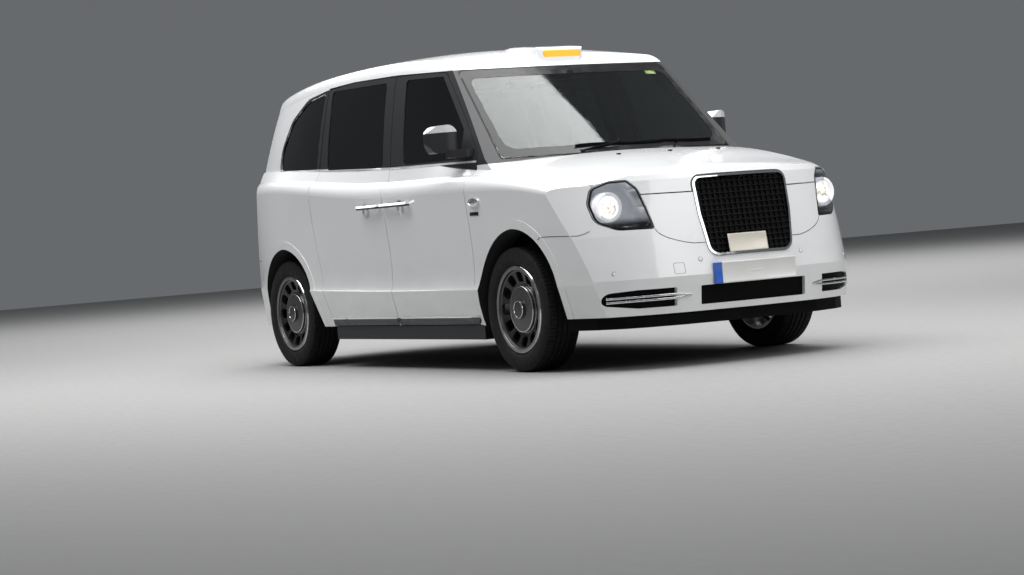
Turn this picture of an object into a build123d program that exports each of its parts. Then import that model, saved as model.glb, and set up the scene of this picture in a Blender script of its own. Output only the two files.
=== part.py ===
from build123d import *
import os
from math import atan2, cos, degrees, radians, sin

# A purpose built taxi cab: millimetres, X forward, Y to the car's left, Z up.
# The origin is on the ground, at mid length and mid width.

# Driving sizes of the whole car
LENGTH = 4857.0
WHEELBASE = 2985.0
FRONT_OVERHANG = 1030.0
BODY_BOTTOM = 258.0
BUMPER_BOTTOM = 285.0
LIP_BOTTOM = 220.0
SILL_BOTTOM = 178.0
FLOOR_TOP = 345.0
FLOOR_THICK = 60.0

# Wheels and steering
TYRE_RADIUS = 343.0
TYRE_WIDTH = 215.0
RIM_RADIUS = 243.0
WHEEL_FACE_Y = 884.0
ARCH_INNER_Y = 425.0
STEER_LIMIT = 45.0
KINGPIN_INBOARD = 30.0
STUB_RADIUS = 22.0
STUB_GAP = 1.0

# Walls, gaps and glass
SHUT_GAP = 6.0
DOOR_THICK = 74.0
FRAME_STEP = 8.0
GLASS_THICK = 5.0
GLASS_INSET = 5.0
CABIN_HALF_FLOOR = 770.0
CABIN_HALF_BELT = 752.0
CABIN_HALF_ROOF = 606.0
CABIN_ROOF_Z = 1790.0

FRONT_END = LENGTH / 2
REAR_END = -LENGTH / 2
FRONT_AXLE = FRONT_END - FRONT_OVERHANG
REAR_AXLE = FRONT_AXLE - WHEELBASE
WHEEL_CENTRE_Y = WHEEL_FACE_Y - TYRE_WIDTH / 2
KINGPIN_Y = WHEEL_CENTRE_Y - KINGPIN_INBOARD

# Cross sections of the lower body, from the tail to the nose.
# Columns: x, half width at the bottom edge, at the crease, at the hollow, at the fullest
# point, at the shoulder and at the belt, then the heights of the same points and of the
# crown on the centre line.
SECTION_COLUMNS = ("x", "y_low", "y_crease", "y_hollow", "y_full", "y_shoulder", "y_belt",
                   "z_crease", "z_hollow", "z_full", "z_shoulder", "z_belt", "z_crown")
LOWER_SECTIONS = (
    (-2480, 700, 735, 742, 752, 716, 690, 520, 700, 1075, 1185, 1270, 1290),
    (-2080, 800, 842, 850, 862, 812, 772, 510, 690, 1105, 1205, 1275, 1300),
    (-1600, 858, 908, 912, 926, 872, 826, 495, 680, 1120, 1203, 1262, 1300),
    (-1050, 872, 917, 901, 936, 878, 845, 485, 640, 1085, 1168, 1234, 1280),
    (-300, 870, 918, 899, 936, 876, 850, 471, 620, 1030, 1122, 1200, 1260),
    (500, 870, 918, 899, 936, 875, 848, 463, 620, 1018, 1108, 1180, 1240),
    (1150, 868, 915, 905, 934, 868, 778, 460, 640, 1005, 1092, 1163, 1200),
    (1620, 850, 898, 905, 921, 838, 735, 460, 650, 975, 1048, 1102, 1134),
    (2020, 800, 842, 850, 858, 772, 660, 460, 650, 890, 985, 1036, 1070),
    (2460, 650, 690, 700, 705, 600, 480, 460, 650, 800, 905, 955, 985),
)

# Side outlines that close the lower body at both ends, from side to side.
# Columns: y, nose at the bottom, at the plate, at the bumper top, at the bonnet lip,
# then the tail at the bottom, at the bumper, above it and at the belt.
END_COLUMNS = ("y", "x_chin", "x_plate", "x_bumper", "x_lip",
               "x_tail_low", "x_tail_bumper", "x_tail_gate", "x_tail_belt")
END_OUTLINES = (
    (0, 2395, 2428.5, 2392, 2338, -2385, -2428.5, -2392, -2322),
    (330, 2372, 2404, 2362, 2308, -2368, -2408, -2372, -2300),
    (600, 2290, 2316, 2262, 2190, -2300, -2330, -2296, -2222),
    (730, 2195, 2218, 2166, 2084, -2230, -2257, -2222, -2136),
    (845, 2060, 2080, 2022, 1926, -2120, -2145, -2110, -2016),
    (950, 1850, 1870, 1800, 1700, -1960, -1985, -1950, -1850),
)
CHIN_Z = 200.0
PLATE_Z = 474.0
BUMPER_TOP_Z = 705.0
LIP_Z = 985.0
TAIL_BUMPER_Z = 480.0
TAIL_GATE_Z = 700.0
TAIL_BELT_Z = 1240.0
OVER_Z = 1500.0

# Cross sections of the cabin top above the belt, from the tail to the windscreen.
# Columns: x, half widths at the belt, at the gutter and at the roof edge, heights of the
# same and of the roof on the centre line.
TOP_COLUMNS = ("x", "y_belt", "y_gutter", "y_edge", "z_belt", "z_gutter", "z_edge", "z_crown")
TOP_SECTIONS = (
    (-2400, 680, 560, 470, 1240, 1600, 1690, 1740),
    (-2150, 748, 632, 548, 1252, 1638, 1734, 1784),
    (-1950, 783, 672, 590, 1262, 1668, 1762, 1810),
    (-1700, 812, 698, 619, 1262, 1698, 1789, 1838),
    (-1450, 832, 716, 640, 1258, 1722, 1808, 1858),
    (-800, 848, 732, 656, 1226, 1752, 1832, 1880),
    (-100, 850, 733, 656, 1194, 1746, 1824, 1872),
    (450, 846, 718, 640, 1182, 1718, 1776, 1812),
    (750, 842, 704, 620, 1178, 1690, 1722, 1745),
    (1350, 830, 670, 580, 1165, 1600, 1630, 1650),
)

# Side outlines that close the cabin top, from side to side.
# Columns: y, windscreen at the cowl and at the header, tail at the belt and at the roof.
SCREEN_COLUMNS = ("y", "x_cowl", "x_header", "x_tail_belt", "x_tail_roof")
SCREEN_OUTLINES = (
    (0, 1300, 640, -2322, -2120),
    (330, 1272, 624, -2302, -2095),
    (600, 1205, 585, -2228, -2010),
    (730, 1156, 552, -2136, -1910),
    (820, 1112, 520, -2050, -1820),
    (900, 1060, 480, -1930, -1700),
)
COWL_Z = 1172.0
HEADER_Z = 1716.0
TAIL_ROOF_Z = 1712.0


def both_sides(rows):
    """The rows of a table from the right side over the middle to the left side."""
    right = [(-row[0],) + tuple(row[1:]) for row in reversed(rows[1:])]
    return right + [tuple(row) for row in rows]


def bend(start, middle, end):
    """A smooth curve from start to end that passes through a middle point."""
    pull = middle * 2 - (start + end) * 0.5
    return Edge.make_bezier(start, pull, end)


def lower_section(row):
    """One cross section of the lower body, as lines and arcs."""
    s = dict(zip(SECTION_COLUMNS, row))
    x = s["x"]

    def at(y, z):
        return Vector(x, y, z)

    def half(side):
        low = at(side * s["y_low"], BODY_BOTTOM)
        crease = at(side * s["y_crease"], s["z_crease"])
        full = at(side * s["y_full"], s["z_full"])
        hollow = at(side * s["y_hollow"], s["z_hollow"])
        shoulder = at(side * s["y_shoulder"], s["z_shoulder"])
        roll_y = s["y_full"] - 0.22 * (s["y_full"] - s["y_shoulder"])
        roll_z = s["z_full"] + 0.60 * (s["z_shoulder"] - s["z_full"])
        roll = at(side * roll_y, roll_z)
        belt = at(side * s["y_belt"], s["z_belt"])
        return low, crease, hollow, full, roll, shoulder, belt

    left = half(1)
    right = half(-1)
    crown = at(0, s["z_crown"])
    edges = [
        Edge.make_line(right[0], left[0]),
        Edge.make_line(left[0], left[1]),
        bend(left[1], left[2], left[3]),
        bend(left[3], left[4], left[5]),
        Edge.make_line(left[5], left[6]),
        bend(left[6], crown, right[6]),
        Edge.make_line(right[6], right[5]),
        bend(right[5], right[4], right[3]),
        bend(right[3], right[2], right[1]),
        Edge.make_line(right[1], right[0]),
    ]
    return Wire(edges)


def end_section(row):
    """One side outline of the lower body's two ends."""
    s = dict(zip(END_COLUMNS, row))
    y = s["y"]

    def at(x, z):
        return Vector(x, y, z)

    corners = [
        at(s["x_tail_low"], CHIN_Z), at(s["x_chin"], CHIN_Z),
        at(s["x_plate"], PLATE_Z), at(s["x_bumper"], BUMPER_TOP_Z),
        at(s["x_lip"], LIP_Z), at(s["x_lip"] - 260, OVER_Z),
        at(s["x_tail_belt"] + 110, OVER_Z), at(s["x_tail_belt"], TAIL_BELT_Z),
        at(s["x_tail_gate"], TAIL_GATE_Z), at(s["x_tail_bumper"], TAIL_BUMPER_Z),
    ]
    edges = []
    for here, there in zip(corners, corners[1:] + corners[:1]):
        edges.append(Edge.make_line(here, there))
    return Wire(edges)


def top_section(row):
    """One cross section of the cabin above the belt."""
    s = dict(zip(TOP_COLUMNS, row))
    x = s["x"]
    base_z = s["z_belt"] - 160

    def at(y, z):
        return Vector(x, y, z)

    def half(side):
        base = at(side * s["y_belt"], base_z)
        belt = at(side * s["y_belt"], s["z_belt"])
        gutter = at(side * s["y_gutter"], s["z_gutter"])
        mid_y = (s["y_belt"] + s["y_gutter"]) / 2 + 9
        mid = at(side * mid_y, (s["z_belt"] + s["z_gutter"]) / 2)
        edge = at(side * s["y_edge"], s["z_edge"])
        roll_y = s["y_edge"] + 0.66 * (s["y_gutter"] - s["y_edge"])
        roll_z = s["z_gutter"] + 0.68 * (s["z_edge"] - s["z_gutter"])
        roll = at(side * roll_y, roll_z)
        return base, belt, mid, gutter, roll, edge

    left = half(1)
    right = half(-1)
    crown = at(0, s["z_crown"])
    edges = [
        Edge.make_line(right[0], left[0]),
        Edge.make_line(left[0], left[1]),
        bend(left[1], left[2], left[3]),
        bend(left[3], left[4], left[5]),
        bend(left[5], crown, right[5]),
        bend(right[5], right[4], right[3]),
        bend(right[3], right[2], right[1]),
        Edge.make_line(right[1], right[0]),
    ]
    return Wire(edges)


def screen_section(row):
    """One side outline of the cabin top, between windscreen and tail."""
    s = dict(zip(SCREEN_COLUMNS, row))
    y = s["y"]
    rake = (s["x_cowl"] - s["x_header"]) / (HEADER_Z - COWL_Z)
    low_z = 1000.0
    high_z = 1960.0

    def at(x, z):
        return Vector(x, y, z)

    corners = [
        at(s["x_tail_belt"] + 40, low_z),
        at(s["x_cowl"] + rake * (COWL_Z - low_z), low_z),
        at(s["x_header"], HEADER_Z),
        at(s["x_header"] - rake * (high_z - HEADER_Z), high_z),
        at(s["x_tail_roof"] + 330, high_z),
        at(s["x_tail_roof"], TAIL_ROOF_Z),
        at(s["x_tail_belt"], TAIL_BELT_Z),
    ]
    edges = []
    for here, there in zip(corners, corners[1:] + corners[:1]):
        edges.append(Edge.make_line(here, there))
    return Wire(edges)



lower_sides = Solid.make_loft([lower_section(row) for row in LOWER_SECTIONS])
lower_ends = Solid.make_loft([end_section(row) for row in both_sides(END_OUTLINES)])
top_sides = Solid.make_loft([top_section(row) for row in TOP_SECTIONS])
top_ends = Solid.make_loft([screen_section(row) for row in both_sides(SCREEN_OUTLINES)])
body_form = (lower_sides & lower_ends) + (top_sides & top_ends)


# Shapes that regions of the body are cut with

FAR = 1400.0


def outline(points, radii, plane):
    """A flat closed outline with rounded corners, on a plane through the origin."""
    if isinstance(radii, (int, float)):
        radii = [radii] * len(points)
    placed = {
        "side": lambda a, b: (a, 0, b),
        "front": lambda a, b: (0, a, b),
        "plan": lambda a, b: (a, b, 0),
    }[plane]
    rounded = FilletPolyline(*[placed(a, b) for a, b in points], radius=list(radii), close=True)
    return Face(Wire(rounded.edges()))


def stretch(face, axis, start, end):
    """A prism: the face is moved along an axis to the start and extruded to the end."""
    step = {"x": Vector(1, 0, 0), "y": Vector(0, 1, 0), "z": Vector(0, 0, 1)}[axis]
    placed = face.moved(Location(step * start))
    return Solid.extrude(placed, step * (end - start))


def side_prism(points, y_start, y_end, radii=0.0):
    return stretch(outline(points, radii, "side"), "y", y_start, y_end)


def front_prism(points, x_start, x_end, radii=0.0):
    return stretch(outline(points, radii, "front"), "x", x_start, x_end)


def plan_prism(points, z_start, z_end, radii=0.0):
    return stretch(outline(points, radii, "plan"), "z", z_start, z_end)


def block(x_span, y_span, z_span):
    """A box between two values on each axis."""
    size = [span[1] - span[0] for span in (x_span, y_span, z_span)]
    middle = [(span[1] + span[0]) / 2 for span in (x_span, y_span, z_span)]
    return Pos(*middle) * Box(*size)


def shifted(shape, dx=0.0, dy=0.0, dz=0.0):
    return shape.moved(Location((dx, dy, dz)))


def other_side(shape):
    """The same shape on the right side of the car."""
    return shape.mirror(Plane.XZ)


def with_symmetry(points):
    """Points given for the left half, followed by their mirror image."""
    return list(points) + [(a, -b) for a, b in reversed(points)]


def front_symmetry(points):
    """Front view points of the left half, followed by their mirror image."""
    return list(points) + [(-a, b) for a, b in reversed(points)]


def one_solid(shape, name):
    """The largest solid of a shape, with crumbs under a hundredth of it dropped."""
    solids = sorted(shape.solids(), key=lambda solid: -solid.volume)
    kept = [solid for solid in solids if solid.volume > 0.01 * solids[0].volume]
    if len(kept) == 1:
        return kept[0]
    print(name, "has", len(kept), "solids")
    return Compound(kept)


nodes = {}


def keep(name, shape):
    nodes[name] = one_solid(shape, name)


# The hollow cabin, the engine bay and the wheel arches

UNDER = 100.0
cabin_section = front_symmetry([
    (CABIN_HALF_FLOOR, UNDER), (CABIN_HALF_FLOOR, 1120), (CABIN_HALF_BELT, 1200),
    (CABIN_HALF_ROOF, 1700), (CABIN_HALF_ROOF - 70, 1775), (240, CABIN_ROOF_Z + 34),
])
cabin_side = [
    (-2230, UNDER), (1140, UNDER), (1140, 1090), (1040, 1220), (540, 1662),
    (250, 1768), (-500, 1836), (-1300, 1818), (-1900, 1752), (-2080, 1660), (-2240, 1240),
    (-2300, 700), (-2290, 520), (-2230, FLOOR_TOP - FLOOR_THICK),
]
cabin = front_prism(cabin_section, -2400, 1400) & side_prism(cabin_side, -FAR, FAR)

# The cabin's rear corners follow the tail: a plan outline at the belt, carried down and up
# along leaning lines
TAIL_BELT = 1240.0
LOWER_LEAN = 0.16
UPPER_LEAN = 0.48
CORNER = [(-2170, 540), (-2096, 682), (-1970, 775), (-1800, 830), (-1800, 900), (-2500, 900),
          (-2500, 540)]


def leaning_corner(lean, z_end):
    """The corner's plan outline at the belt, extruded to a height along a leaning line."""
    face = outline(CORNER, 0, "plan").moved(Location((0, 0, TAIL_BELT)))
    rise = z_end - TAIL_BELT
    return Solid.extrude(face, Vector(lean * rise, 0, rise))


lower_corner = leaning_corner(LOWER_LEAN, 50.0)
for corner in (lower_corner, leaning_corner(UPPER_LEAN, 2000.0)):
    cabin = cabin - corner - other_side(corner)

BAY_FRONT = 2180.0
BAY_BACK = 1185.0
BAY_HALF = 640.0
bay_side = [(BAY_BACK, 100), (BAY_FRONT, 100), (BAY_FRONT, 880), (BAY_BACK, 1060)]
bay = side_prism(bay_side, -BAY_HALF, BAY_HALF)


def arch_outline(axle_x, points):
    """The wheel opening: a straight or flared foot, then two arcs over the tyre."""
    at = [Vector(axle_x + dx, 0, z) for dx, z in points]
    edges = [
        Edge.make_line(at[0], at[1]),
        Edge.make_three_point_arc(at[1], at[2], at[3]),
        Edge.make_three_point_arc(at[3], at[4], at[5]),
        Edge.make_line(at[5], at[6]),
        Edge.make_line(at[6], at[0]),
    ]
    return Face(Wire(edges))


FRONT_ARCH = ((-384, 100), (-384, 372), (-232, 656), (52, 783), (316, 695), (452, 430), (470, 100))
REAR_ARCH = ((-420, 100), (-412, 380), (-246, 652), (24, 760), (262, 682), (398, 500), (560, 100))
front_well = stretch(arch_outline(FRONT_AXLE, FRONT_ARCH), "y", ARCH_INNER_Y, FAR)
rear_well = stretch(arch_outline(REAR_AXLE, REAR_ARCH), "y", ARCH_INNER_Y + 120, FAR)
wells = front_well + rear_well
wells = wells + other_side(wells)

# Doors and side windows, drawn from the side. Points go round each outline.
B_LINE = ((-42, 262), (-42, 1000), (-58, 1190), (-113, 1743))
C_LINE = ((-944, 262), (-950, 310), (-1012, 500), (-1060, 740), (-1074, 900), (-1066, 1070),
          (-1048, 1230), (-1061, 1740))
A_LINE = ((500, 1706), (800, 1432), (1002, 1212), (990, 1090), (986, 262))
FRONT_DOOR = tuple(B_LINE) + ((440, 1719),) + A_LINE
FRONT_DOOR_ROUND = (18, 0, 0, 18, 0, 24, 0, 60, 0, 50)
REAR_DOOR = tuple(C_LINE) + ((-700, 1756),) + tuple(reversed(B_LINE))
REAR_DOOR_ROUND = (12, 0, 0, 60, 0, 0, 60, 18, 0, 18, 0, 0, 18)
FRONT_WINDOW = ((98, 1206), (26, 1708), (466, 1690), (800, 1366), (806, 1197))
FRONT_WINDOW_ROUND = (26, 26, 26, 12, 12)
REAR_WINDOW = ((-944, 1233), (-1001, 1724), (-222, 1712), (-160, 1203))
QUARTER_WINDOW = ((-1096, 1246), (-1106, 1716), (-1383, 1684), (-1610, 1570), (-1720, 1400),
                  (-1728, 1268))
QUARTER_ROUND = (16, 26, 200, 160, 120, 60)


def grown(points, radii, amount):
    """A side outline moved outward by an amount, or inward where it is negative."""
    face = outline(points, radii, "side")
    if amount == 0:
        return face
    moved = face.outer_wire().offset_2d(amount, kind=Kind.INTERSECTION)
    return Face(moved)


def side_piece(points, radii, amount, y_start=450.0):
    return stretch(grown(points, radii, amount), "y", y_start, FAR)


UPPER_THICK = 40.0
SIDE_X = (-1200, 1420)
left_form = body_form & block(SIDE_X, (450, FAR), (0, 2200))
belt_up = block((-2600, 2600), (0, FAR), (1150, 2200))


def door_wall(points, radii, amount, extra):
    """The outer part of the side wall inside a door's outline."""
    wall = left_form & side_piece(points, radii, amount)
    wall = wall - shifted(left_form, dy=-(DOOR_THICK + extra))
    return wall - (shifted(left_form, dy=-(UPPER_THICK + extra)) & belt_up)


half_gap = SHUT_GAP / 2
door_table = {
    "front": (FRONT_DOOR, FRONT_DOOR_ROUND, FRONT_WINDOW, FRONT_WINDOW_ROUND),
    "rear": (REAR_DOOR, REAR_DOOR_ROUND, REAR_WINDOW, 30),
}
DOOR_LAND = 46.0
STEP_DEPTH = 20.0
STEP_WIDTH = 15.0
step_outline = [(x - STEP_WIDTH, z) for x, z in B_LINE]
step_outline += [(x + STEP_WIDTH, z) for x, z in reversed(B_LINE)]
shut_step = side_prism(step_outline, 450, FAR) & shifted(left_form, dy=-STEP_DEPTH)
door_cuts = []
for place, (points, radii, window, window_radii) in door_table.items():
    pane = left_form & side_piece(window, window_radii, 0)
    pane = shifted(pane, dy=-GLASS_INSET) - shifted(left_form, dy=-(GLASS_INSET + GLASS_THICK))
    keep("glass_" + place + "_left", pane)
    door = door_wall(points, radii, -half_gap, 0.0)
    door = door - side_piece(window, window_radii, 0) - wells - shut_step
    keep("door_" + place + "_left", door)
    door_cuts.append(door_wall(points, radii, half_gap, FRAME_STEP))
    door_cuts.append(side_piece(points, radii, -DOOR_LAND))

# Glass that doesn't move
RAKE_X = 0.64
RAKE_Z = 0.77
SCREEN = ((771, 1150), (690, 1716))
SCREEN_ROUND = (40, 34, 34, 40)


def screen_piece(amount, x_start=420.0, x_end=1500.0):
    face = outline(front_symmetry(SCREEN), SCREEN_ROUND, "front")
    if amount:
        face = Face(face.outer_wire().offset_2d(amount, kind=Kind.INTERSECTION))
    return stretch(face, "x", x_start, x_end)


SCREEN_GAP = 0.0
SCREEN_LAND = 40.0
SCREEN_SEAT = 14.0
front_form = body_form & block((400, 1500), (-FAR, FAR), (1100, 1900))
screen_behind = shifted(front_form, dx=-GLASS_THICK * RAKE_X, dz=-GLASS_THICK * RAKE_Z)
windscreen = (front_form & screen_piece(0) & block((400, 1292), (-FAR, FAR), (1177, 1712)))
windscreen = windscreen - screen_behind
seat_behind = shifted(front_form, dx=-SCREEN_SEAT * RAKE_X, dz=-SCREEN_SEAT * RAKE_Z)
screen_cut = (front_form & screen_piece(SCREEN_GAP)) - seat_behind
screen_cut = screen_cut & block((400, 1296), (-FAR, FAR), (1173, 1716))
screen_hole = screen_piece(-SCREEN_LAND, 300, 1300) & block((300, 1300), (-FAR, FAR), (1120, 1690))

# The bonnet, the grille's place and the lamps' place
nose_form = body_form & block((1180, 2600), (-FAR, FAR), (200, 1300))
BONNET_PLAN = ((1324, 470), (1262, 772), (1330, 868), (1700, 838), (2010, 772), (2120, 728),
               (2600, 728))
BONNET_SIDE = [(1150, 1010), (2050, 916), (2250, 912), (2600, 898), (2600, 1400), (1150, 1400)]
HEADLAMP = ((525, 732), (690, 735), (770, 780), (783, 880), (760, 962), (690, 992), (608, 993),
            (568, 945), (546, 850))
HEADLAMP_ROUND = (6, 90, 60, 100, 45, 60, 14, 60, 60)
LAMP_DEPTH = 110.0
LENS_THICK = 4.0


def flat_region(points, radii, plane, amount):
    face = outline(points, radii, plane)
    if amount:
        face = Face(face.outer_wire().offset_2d(amount, kind=Kind.INTERSECTION))
    return face


def lamp_piece(amount):
    return stretch(flat_region(HEADLAMP, HEADLAMP_ROUND, "front", amount), "x", 1850, 2500)


def bonnet_piece(amount, dx, dz):
    plan = stretch(flat_region(with_symmetry(BONNET_PLAN), 0, "plan", amount), "z", 800, 1400)
    side = stretch(flat_region(BONNET_SIDE, 0, "side", amount), "y", -FAR, FAR)
    return (nose_form & plan & side) - shifted(nose_form, dx=-dx, dz=-dz)


# The grille stands in one leaning plane
GRILLE_TOP = (2338.0, 993.0)
GRILLE_FOOT = (2414.0, 557.0)
lean_angle = degrees(atan2(GRILLE_FOOT[0] - GRILLE_TOP[0], GRILLE_TOP[1] - GRILLE_FOOT[1]))
GRILLE_RIM = 13.0
GRILLE_BAR = 5.0
GRILLE_COLUMNS = 17


def leaning(face_points, radii, amount, start, end):
    """A prism whose front view is an outline, along the grille's own normal."""
    face = flat_region(face_points, radii, "front", amount)
    prism = stretch(face, "x", start, end)
    turned = prism.rotate(Axis((0, 0, GRILLE_TOP[1]), (0, 1, 0)), -lean_angle)
    return shifted(turned, dx=GRILLE_TOP[0])


GRILLE = ((299, 993), (293, 786), (262, 557))
grille_points = front_symmetry(GRILLE)
grille_round = (50, 200, 70, 70, 200, 50)
grille_hole = leaning(grille_points, grille_round, 0.0, -300, 200)
bonnet_notch = leaning(grille_points, grille_round, SHUT_GAP, -300, 200)


lamp_gap = lamp_piece(half_gap)
lamp_gaps = lamp_gap + other_side(lamp_gap)
bonnet = bonnet_piece(-half_gap, 26, 28) - lamp_gaps - bonnet_notch
keep("bonnet", bonnet)
bonnet_cut = bonnet_piece(half_gap, 40, 44)


# The fixed body shell, cut into the panels that meet at real seams
shell = body_form - cabin - wells - bay
FRONT_EDGE = 989.0
BAND_WIDTH = 52.0
BAND_PROUD = 3.0


def arch_band(axle_x, arch):
    """A flat band round a wheel opening, standing a little proud of the panels."""
    face = Face(arch_outline(axle_x, arch).outer_wire().offset_2d(
        BAND_WIDTH, kind=Kind.INTERSECTION))
    ring = stretch(face, "y", CABIN_HALF_FLOOR + 20, FAR) - wells
    room = block((FRONT_EDGE, 2600), (0, FAR), (BUMPER_BOTTOM, 1000))
    room = room + block((-2600, min(x for x, z in C_LINE) + 20), (0, FAR), (BODY_BOTTOM, 1000))
    return shifted(body_form, dy=BAND_PROUD) & ring & room


front_band = arch_band(FRONT_AXLE, FRONT_ARCH)
rear_band = arch_band(REAR_AXLE, REAR_ARCH)
frame_outline = [(FRONT_EDGE, SILL_BOTTOM), (FRONT_EDGE, 1152), (1330, 1152), (655, 1714),
                 (440, 1722), (-113, 1748), (-700, 1758), (-1062, 1748)]
frame_outline += [(x - half_gap, z) for x, z in reversed(C_LINE[:-1])]
frame = shell & side_prism(frame_outline, 450, FAR)
for cut in door_cuts:
    frame = frame - cut
frame = frame - screen_cut - screen_hole - bonnet_cut
sill = block((-944, 986), (CABIN_HALF_FLOOR - 20, 862), (SILL_BOTTOM, BODY_BOTTOM))
frame = frame + sill
keep("door_frame_left", frame)

ROOF_OUTLINE = [(760, 1714), (655, 1714), (440, 1722), (-113, 1748), (-700, 1758), (-1062, 1748),
                (-1400, 1738), (-1750, 1694), (-1985, 1640), (-1985, 2100), (760, 2100)]
roof = shell & side_prism(ROOF_OUTLINE, -FAR, FAR)
roof = roof - screen_cut - screen_hole
keep("roof_panel", roof)

# The tail: a top hinged tailgate between two corner panels, over the bumper
TAILGATE = ((655, 712), (690, 1180), (560, 1690), (520, 1900))
TAILGATE_SIDE = [(-2700, 600), (-2700, 2000), (-1991, 2000), (-1991, 1640), (-2080, 1500),
                 (-2150, 1200), (-2200, 600)]
TAIL_WINDOW = ((585, 1240), (490, 1640))
tail_form = body_form & block((-2600, -1900), (-FAR, FAR), (200, 2200))


def tail_piece(amount, inward, down):
    face = outline(front_symmetry(TAILGATE), (60, 90, 90, 20, 20, 90, 90, 60), "front")
    if amount:
        face = Face(face.outer_wire().offset_2d(amount, kind=Kind.INTERSECTION))
    region = stretch(face, "x", -2700, -1800)
    side = outline(TAILGATE_SIDE, 0, "side")
    if amount:
        side = Face(side.outer_wire().offset_2d(amount, kind=Kind.INTERSECTION))
    region = region & stretch(side, "y", -FAR, FAR)
    return (tail_form & region) - shifted(tail_form, dx=inward, dz=-down)


tail_window = front_prism(front_symmetry(TAIL_WINDOW), -2700, -1900, (60, 60, 60, 60))
rear_pane = tail_form & tail_window
rear_pane = shifted(rear_pane, dx=GLASS_INSET)
rear_pane = rear_pane - shifted(tail_form, dx=GLASS_INSET + GLASS_THICK)
keep("glass_tailgate", rear_pane)
tailgate = tail_piece(-half_gap, 58, 30) - tail_window
keep("tailgate", tailgate)
tail_cut = tail_piece(half_gap, 66, 38)
tail_hole = front_prism(front_symmetry(((600, 770), (630, 1180), (510, 1650))), -2700, -2000, 60)

QUARTER_REGION = [(x - half_gap, z) for x, z in C_LINE[:-1]]
QUARTER_REGION += [(-1062, 1748), (-1400, 1738), (-1750, 1694), (-1985, 1640), (-2700, 1640),
                   (-2700, 696), (-2026, 696), (-2026, 180), (-947, 180)]
quarter = shell & side_prism(QUARTER_REGION, 300, FAR)
quarter_hole = side_piece(QUARTER_WINDOW, QUARTER_ROUND, 0)
rear_form = body_form & block((-1950, -1000), (450, FAR), (1100, 1900))
quarter_pane = rear_form & quarter_hole
quarter_pane = shifted(quarter_pane, dy=-GLASS_INSET)
quarter_pane = quarter_pane - shifted(rear_form, dy=-(GLASS_INSET + GLASS_THICK))
quarter = quarter - quarter_hole - tail_cut - tail_hole
quarter = quarter + rear_band


def wheelhouse(axle_x, arch, y_in, y_out):
    """A liner of even thickness over a wheel, closed on its inner side."""
    face = arch_outline(axle_x, arch)
    grown_face = Face(face.outer_wire().offset_2d(LINER, kind=Kind.INTERSECTION))
    liner = stretch(grown_face, "y", y_in - LINER, y_out) - stretch(face, "y", y_in, FAR)
    return liner & block((-2600, 2600), (0, FAR), (BODY_BOTTOM + 4, 1000))


LINER = 10.0
REAR_INNER_Y = ARCH_INNER_Y + 120
quarter = quarter + wheelhouse(REAR_AXLE, REAR_ARCH, REAR_INNER_Y, CABIN_HALF_FLOOR + 20)
rear_slot = block((REAR_AXLE - 60, REAR_AXLE + 60), (480, 760), (190, 391))
quarter = quarter - rear_slot
keep("rear_quarter_left", quarter)

# Rear bumper below the tailgate
REAR_BUMPER = [(-2700, 180), (-2700, 690), (-1900, 690), (-1900, 180)]
rear_bumper_inner = block((-2330, -1800), (-700, 700), (100, 640))
rear_bumper = (body_form - wells - rear_bumper_inner - cabin) & side_prism(REAR_BUMPER, -FAR, FAR)
rear_bumper = rear_bumper & block((-2700, -2028), (-FAR, FAR), (0, 800))
keep("rear_bumper", rear_bumper - tail_cut - quarter - other_side(quarter))

# The front bumper, the nose panel, the lamps and the wings
BUMPER_SIDE = [(1500, BUMPER_BOTTOM), (1500, 690), (1700, 692), (1722, 724), (2030, 722),
               (2062, 732), (2130, 782), (2700, 782), (2700, BUMPER_BOTTOM)]
NOSE_PANEL = ((260, 638), (345, 638), (440, 664), (497, 690), (530, 740), (575, 960))
nose_region = front_prism(front_symmetry(NOSE_PANEL), 2100, 2600)
BUMPER_INNER = ((1500, 812), (1830, 800), (2060, 720), (2220, 560), (2300, 330))
bumper_region = side_prism(BUMPER_SIDE, -FAR, FAR)
bumper_hollow = plan_prism(with_symmetry(BUMPER_INNER), 100, 745, 30)
LOWER_GRILLE = ((331, 318), (331, 417))
SIDE_SLOT = ((463, 322), (463, 418), (650, 418), (792, 408), (792, 345), (650, 322))
lower_opening = front_prism(front_symmetry(LOWER_GRILLE), 2000, 2600, 6)
slot_opening = front_prism(SIDE_SLOT, 1950, 2600, (6, 6, 0, 40, 28, 0))
openings = lower_opening + slot_opening + other_side(slot_opening)
bumper = (nose_form & bumper_region) - wells - bumper_hollow - openings - grille_hole
bumper = bumper - bay - nose_region - lamp_gaps - bonnet_cut
bumper_band = front_band & (bumper_region - nose_region)
keep("front_bumper", bumper + bumper_band + other_side(bumper_band))

nose = (nose_form & nose_region) - shifted(nose_form, dx=-32)
nose = nose - grille_hole - lamp_gaps - bonnet_cut
keep("nose_panel", nose)

lower_mesh = shifted(nose_form, dx=-24) & openings
keep("lower_grilles", lower_mesh - shifted(nose_form, dx=-40))

lens = nose_form & lamp_piece(0)
housing = shifted(lens, dx=-LENS_THICK) & lens
lens = lens - shifted(nose_form, dx=-LENS_THICK)
housing = housing - shifted(nose_form, dx=-LAMP_DEPTH)
lens = one_solid(lens, "lens")
housing = one_solid(housing, "housing")
nodes["headlamp_lenses"] = Compound([lens, other_side(lens)])
nodes["headlamps"] = Compound([housing, other_side(housing)])

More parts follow.
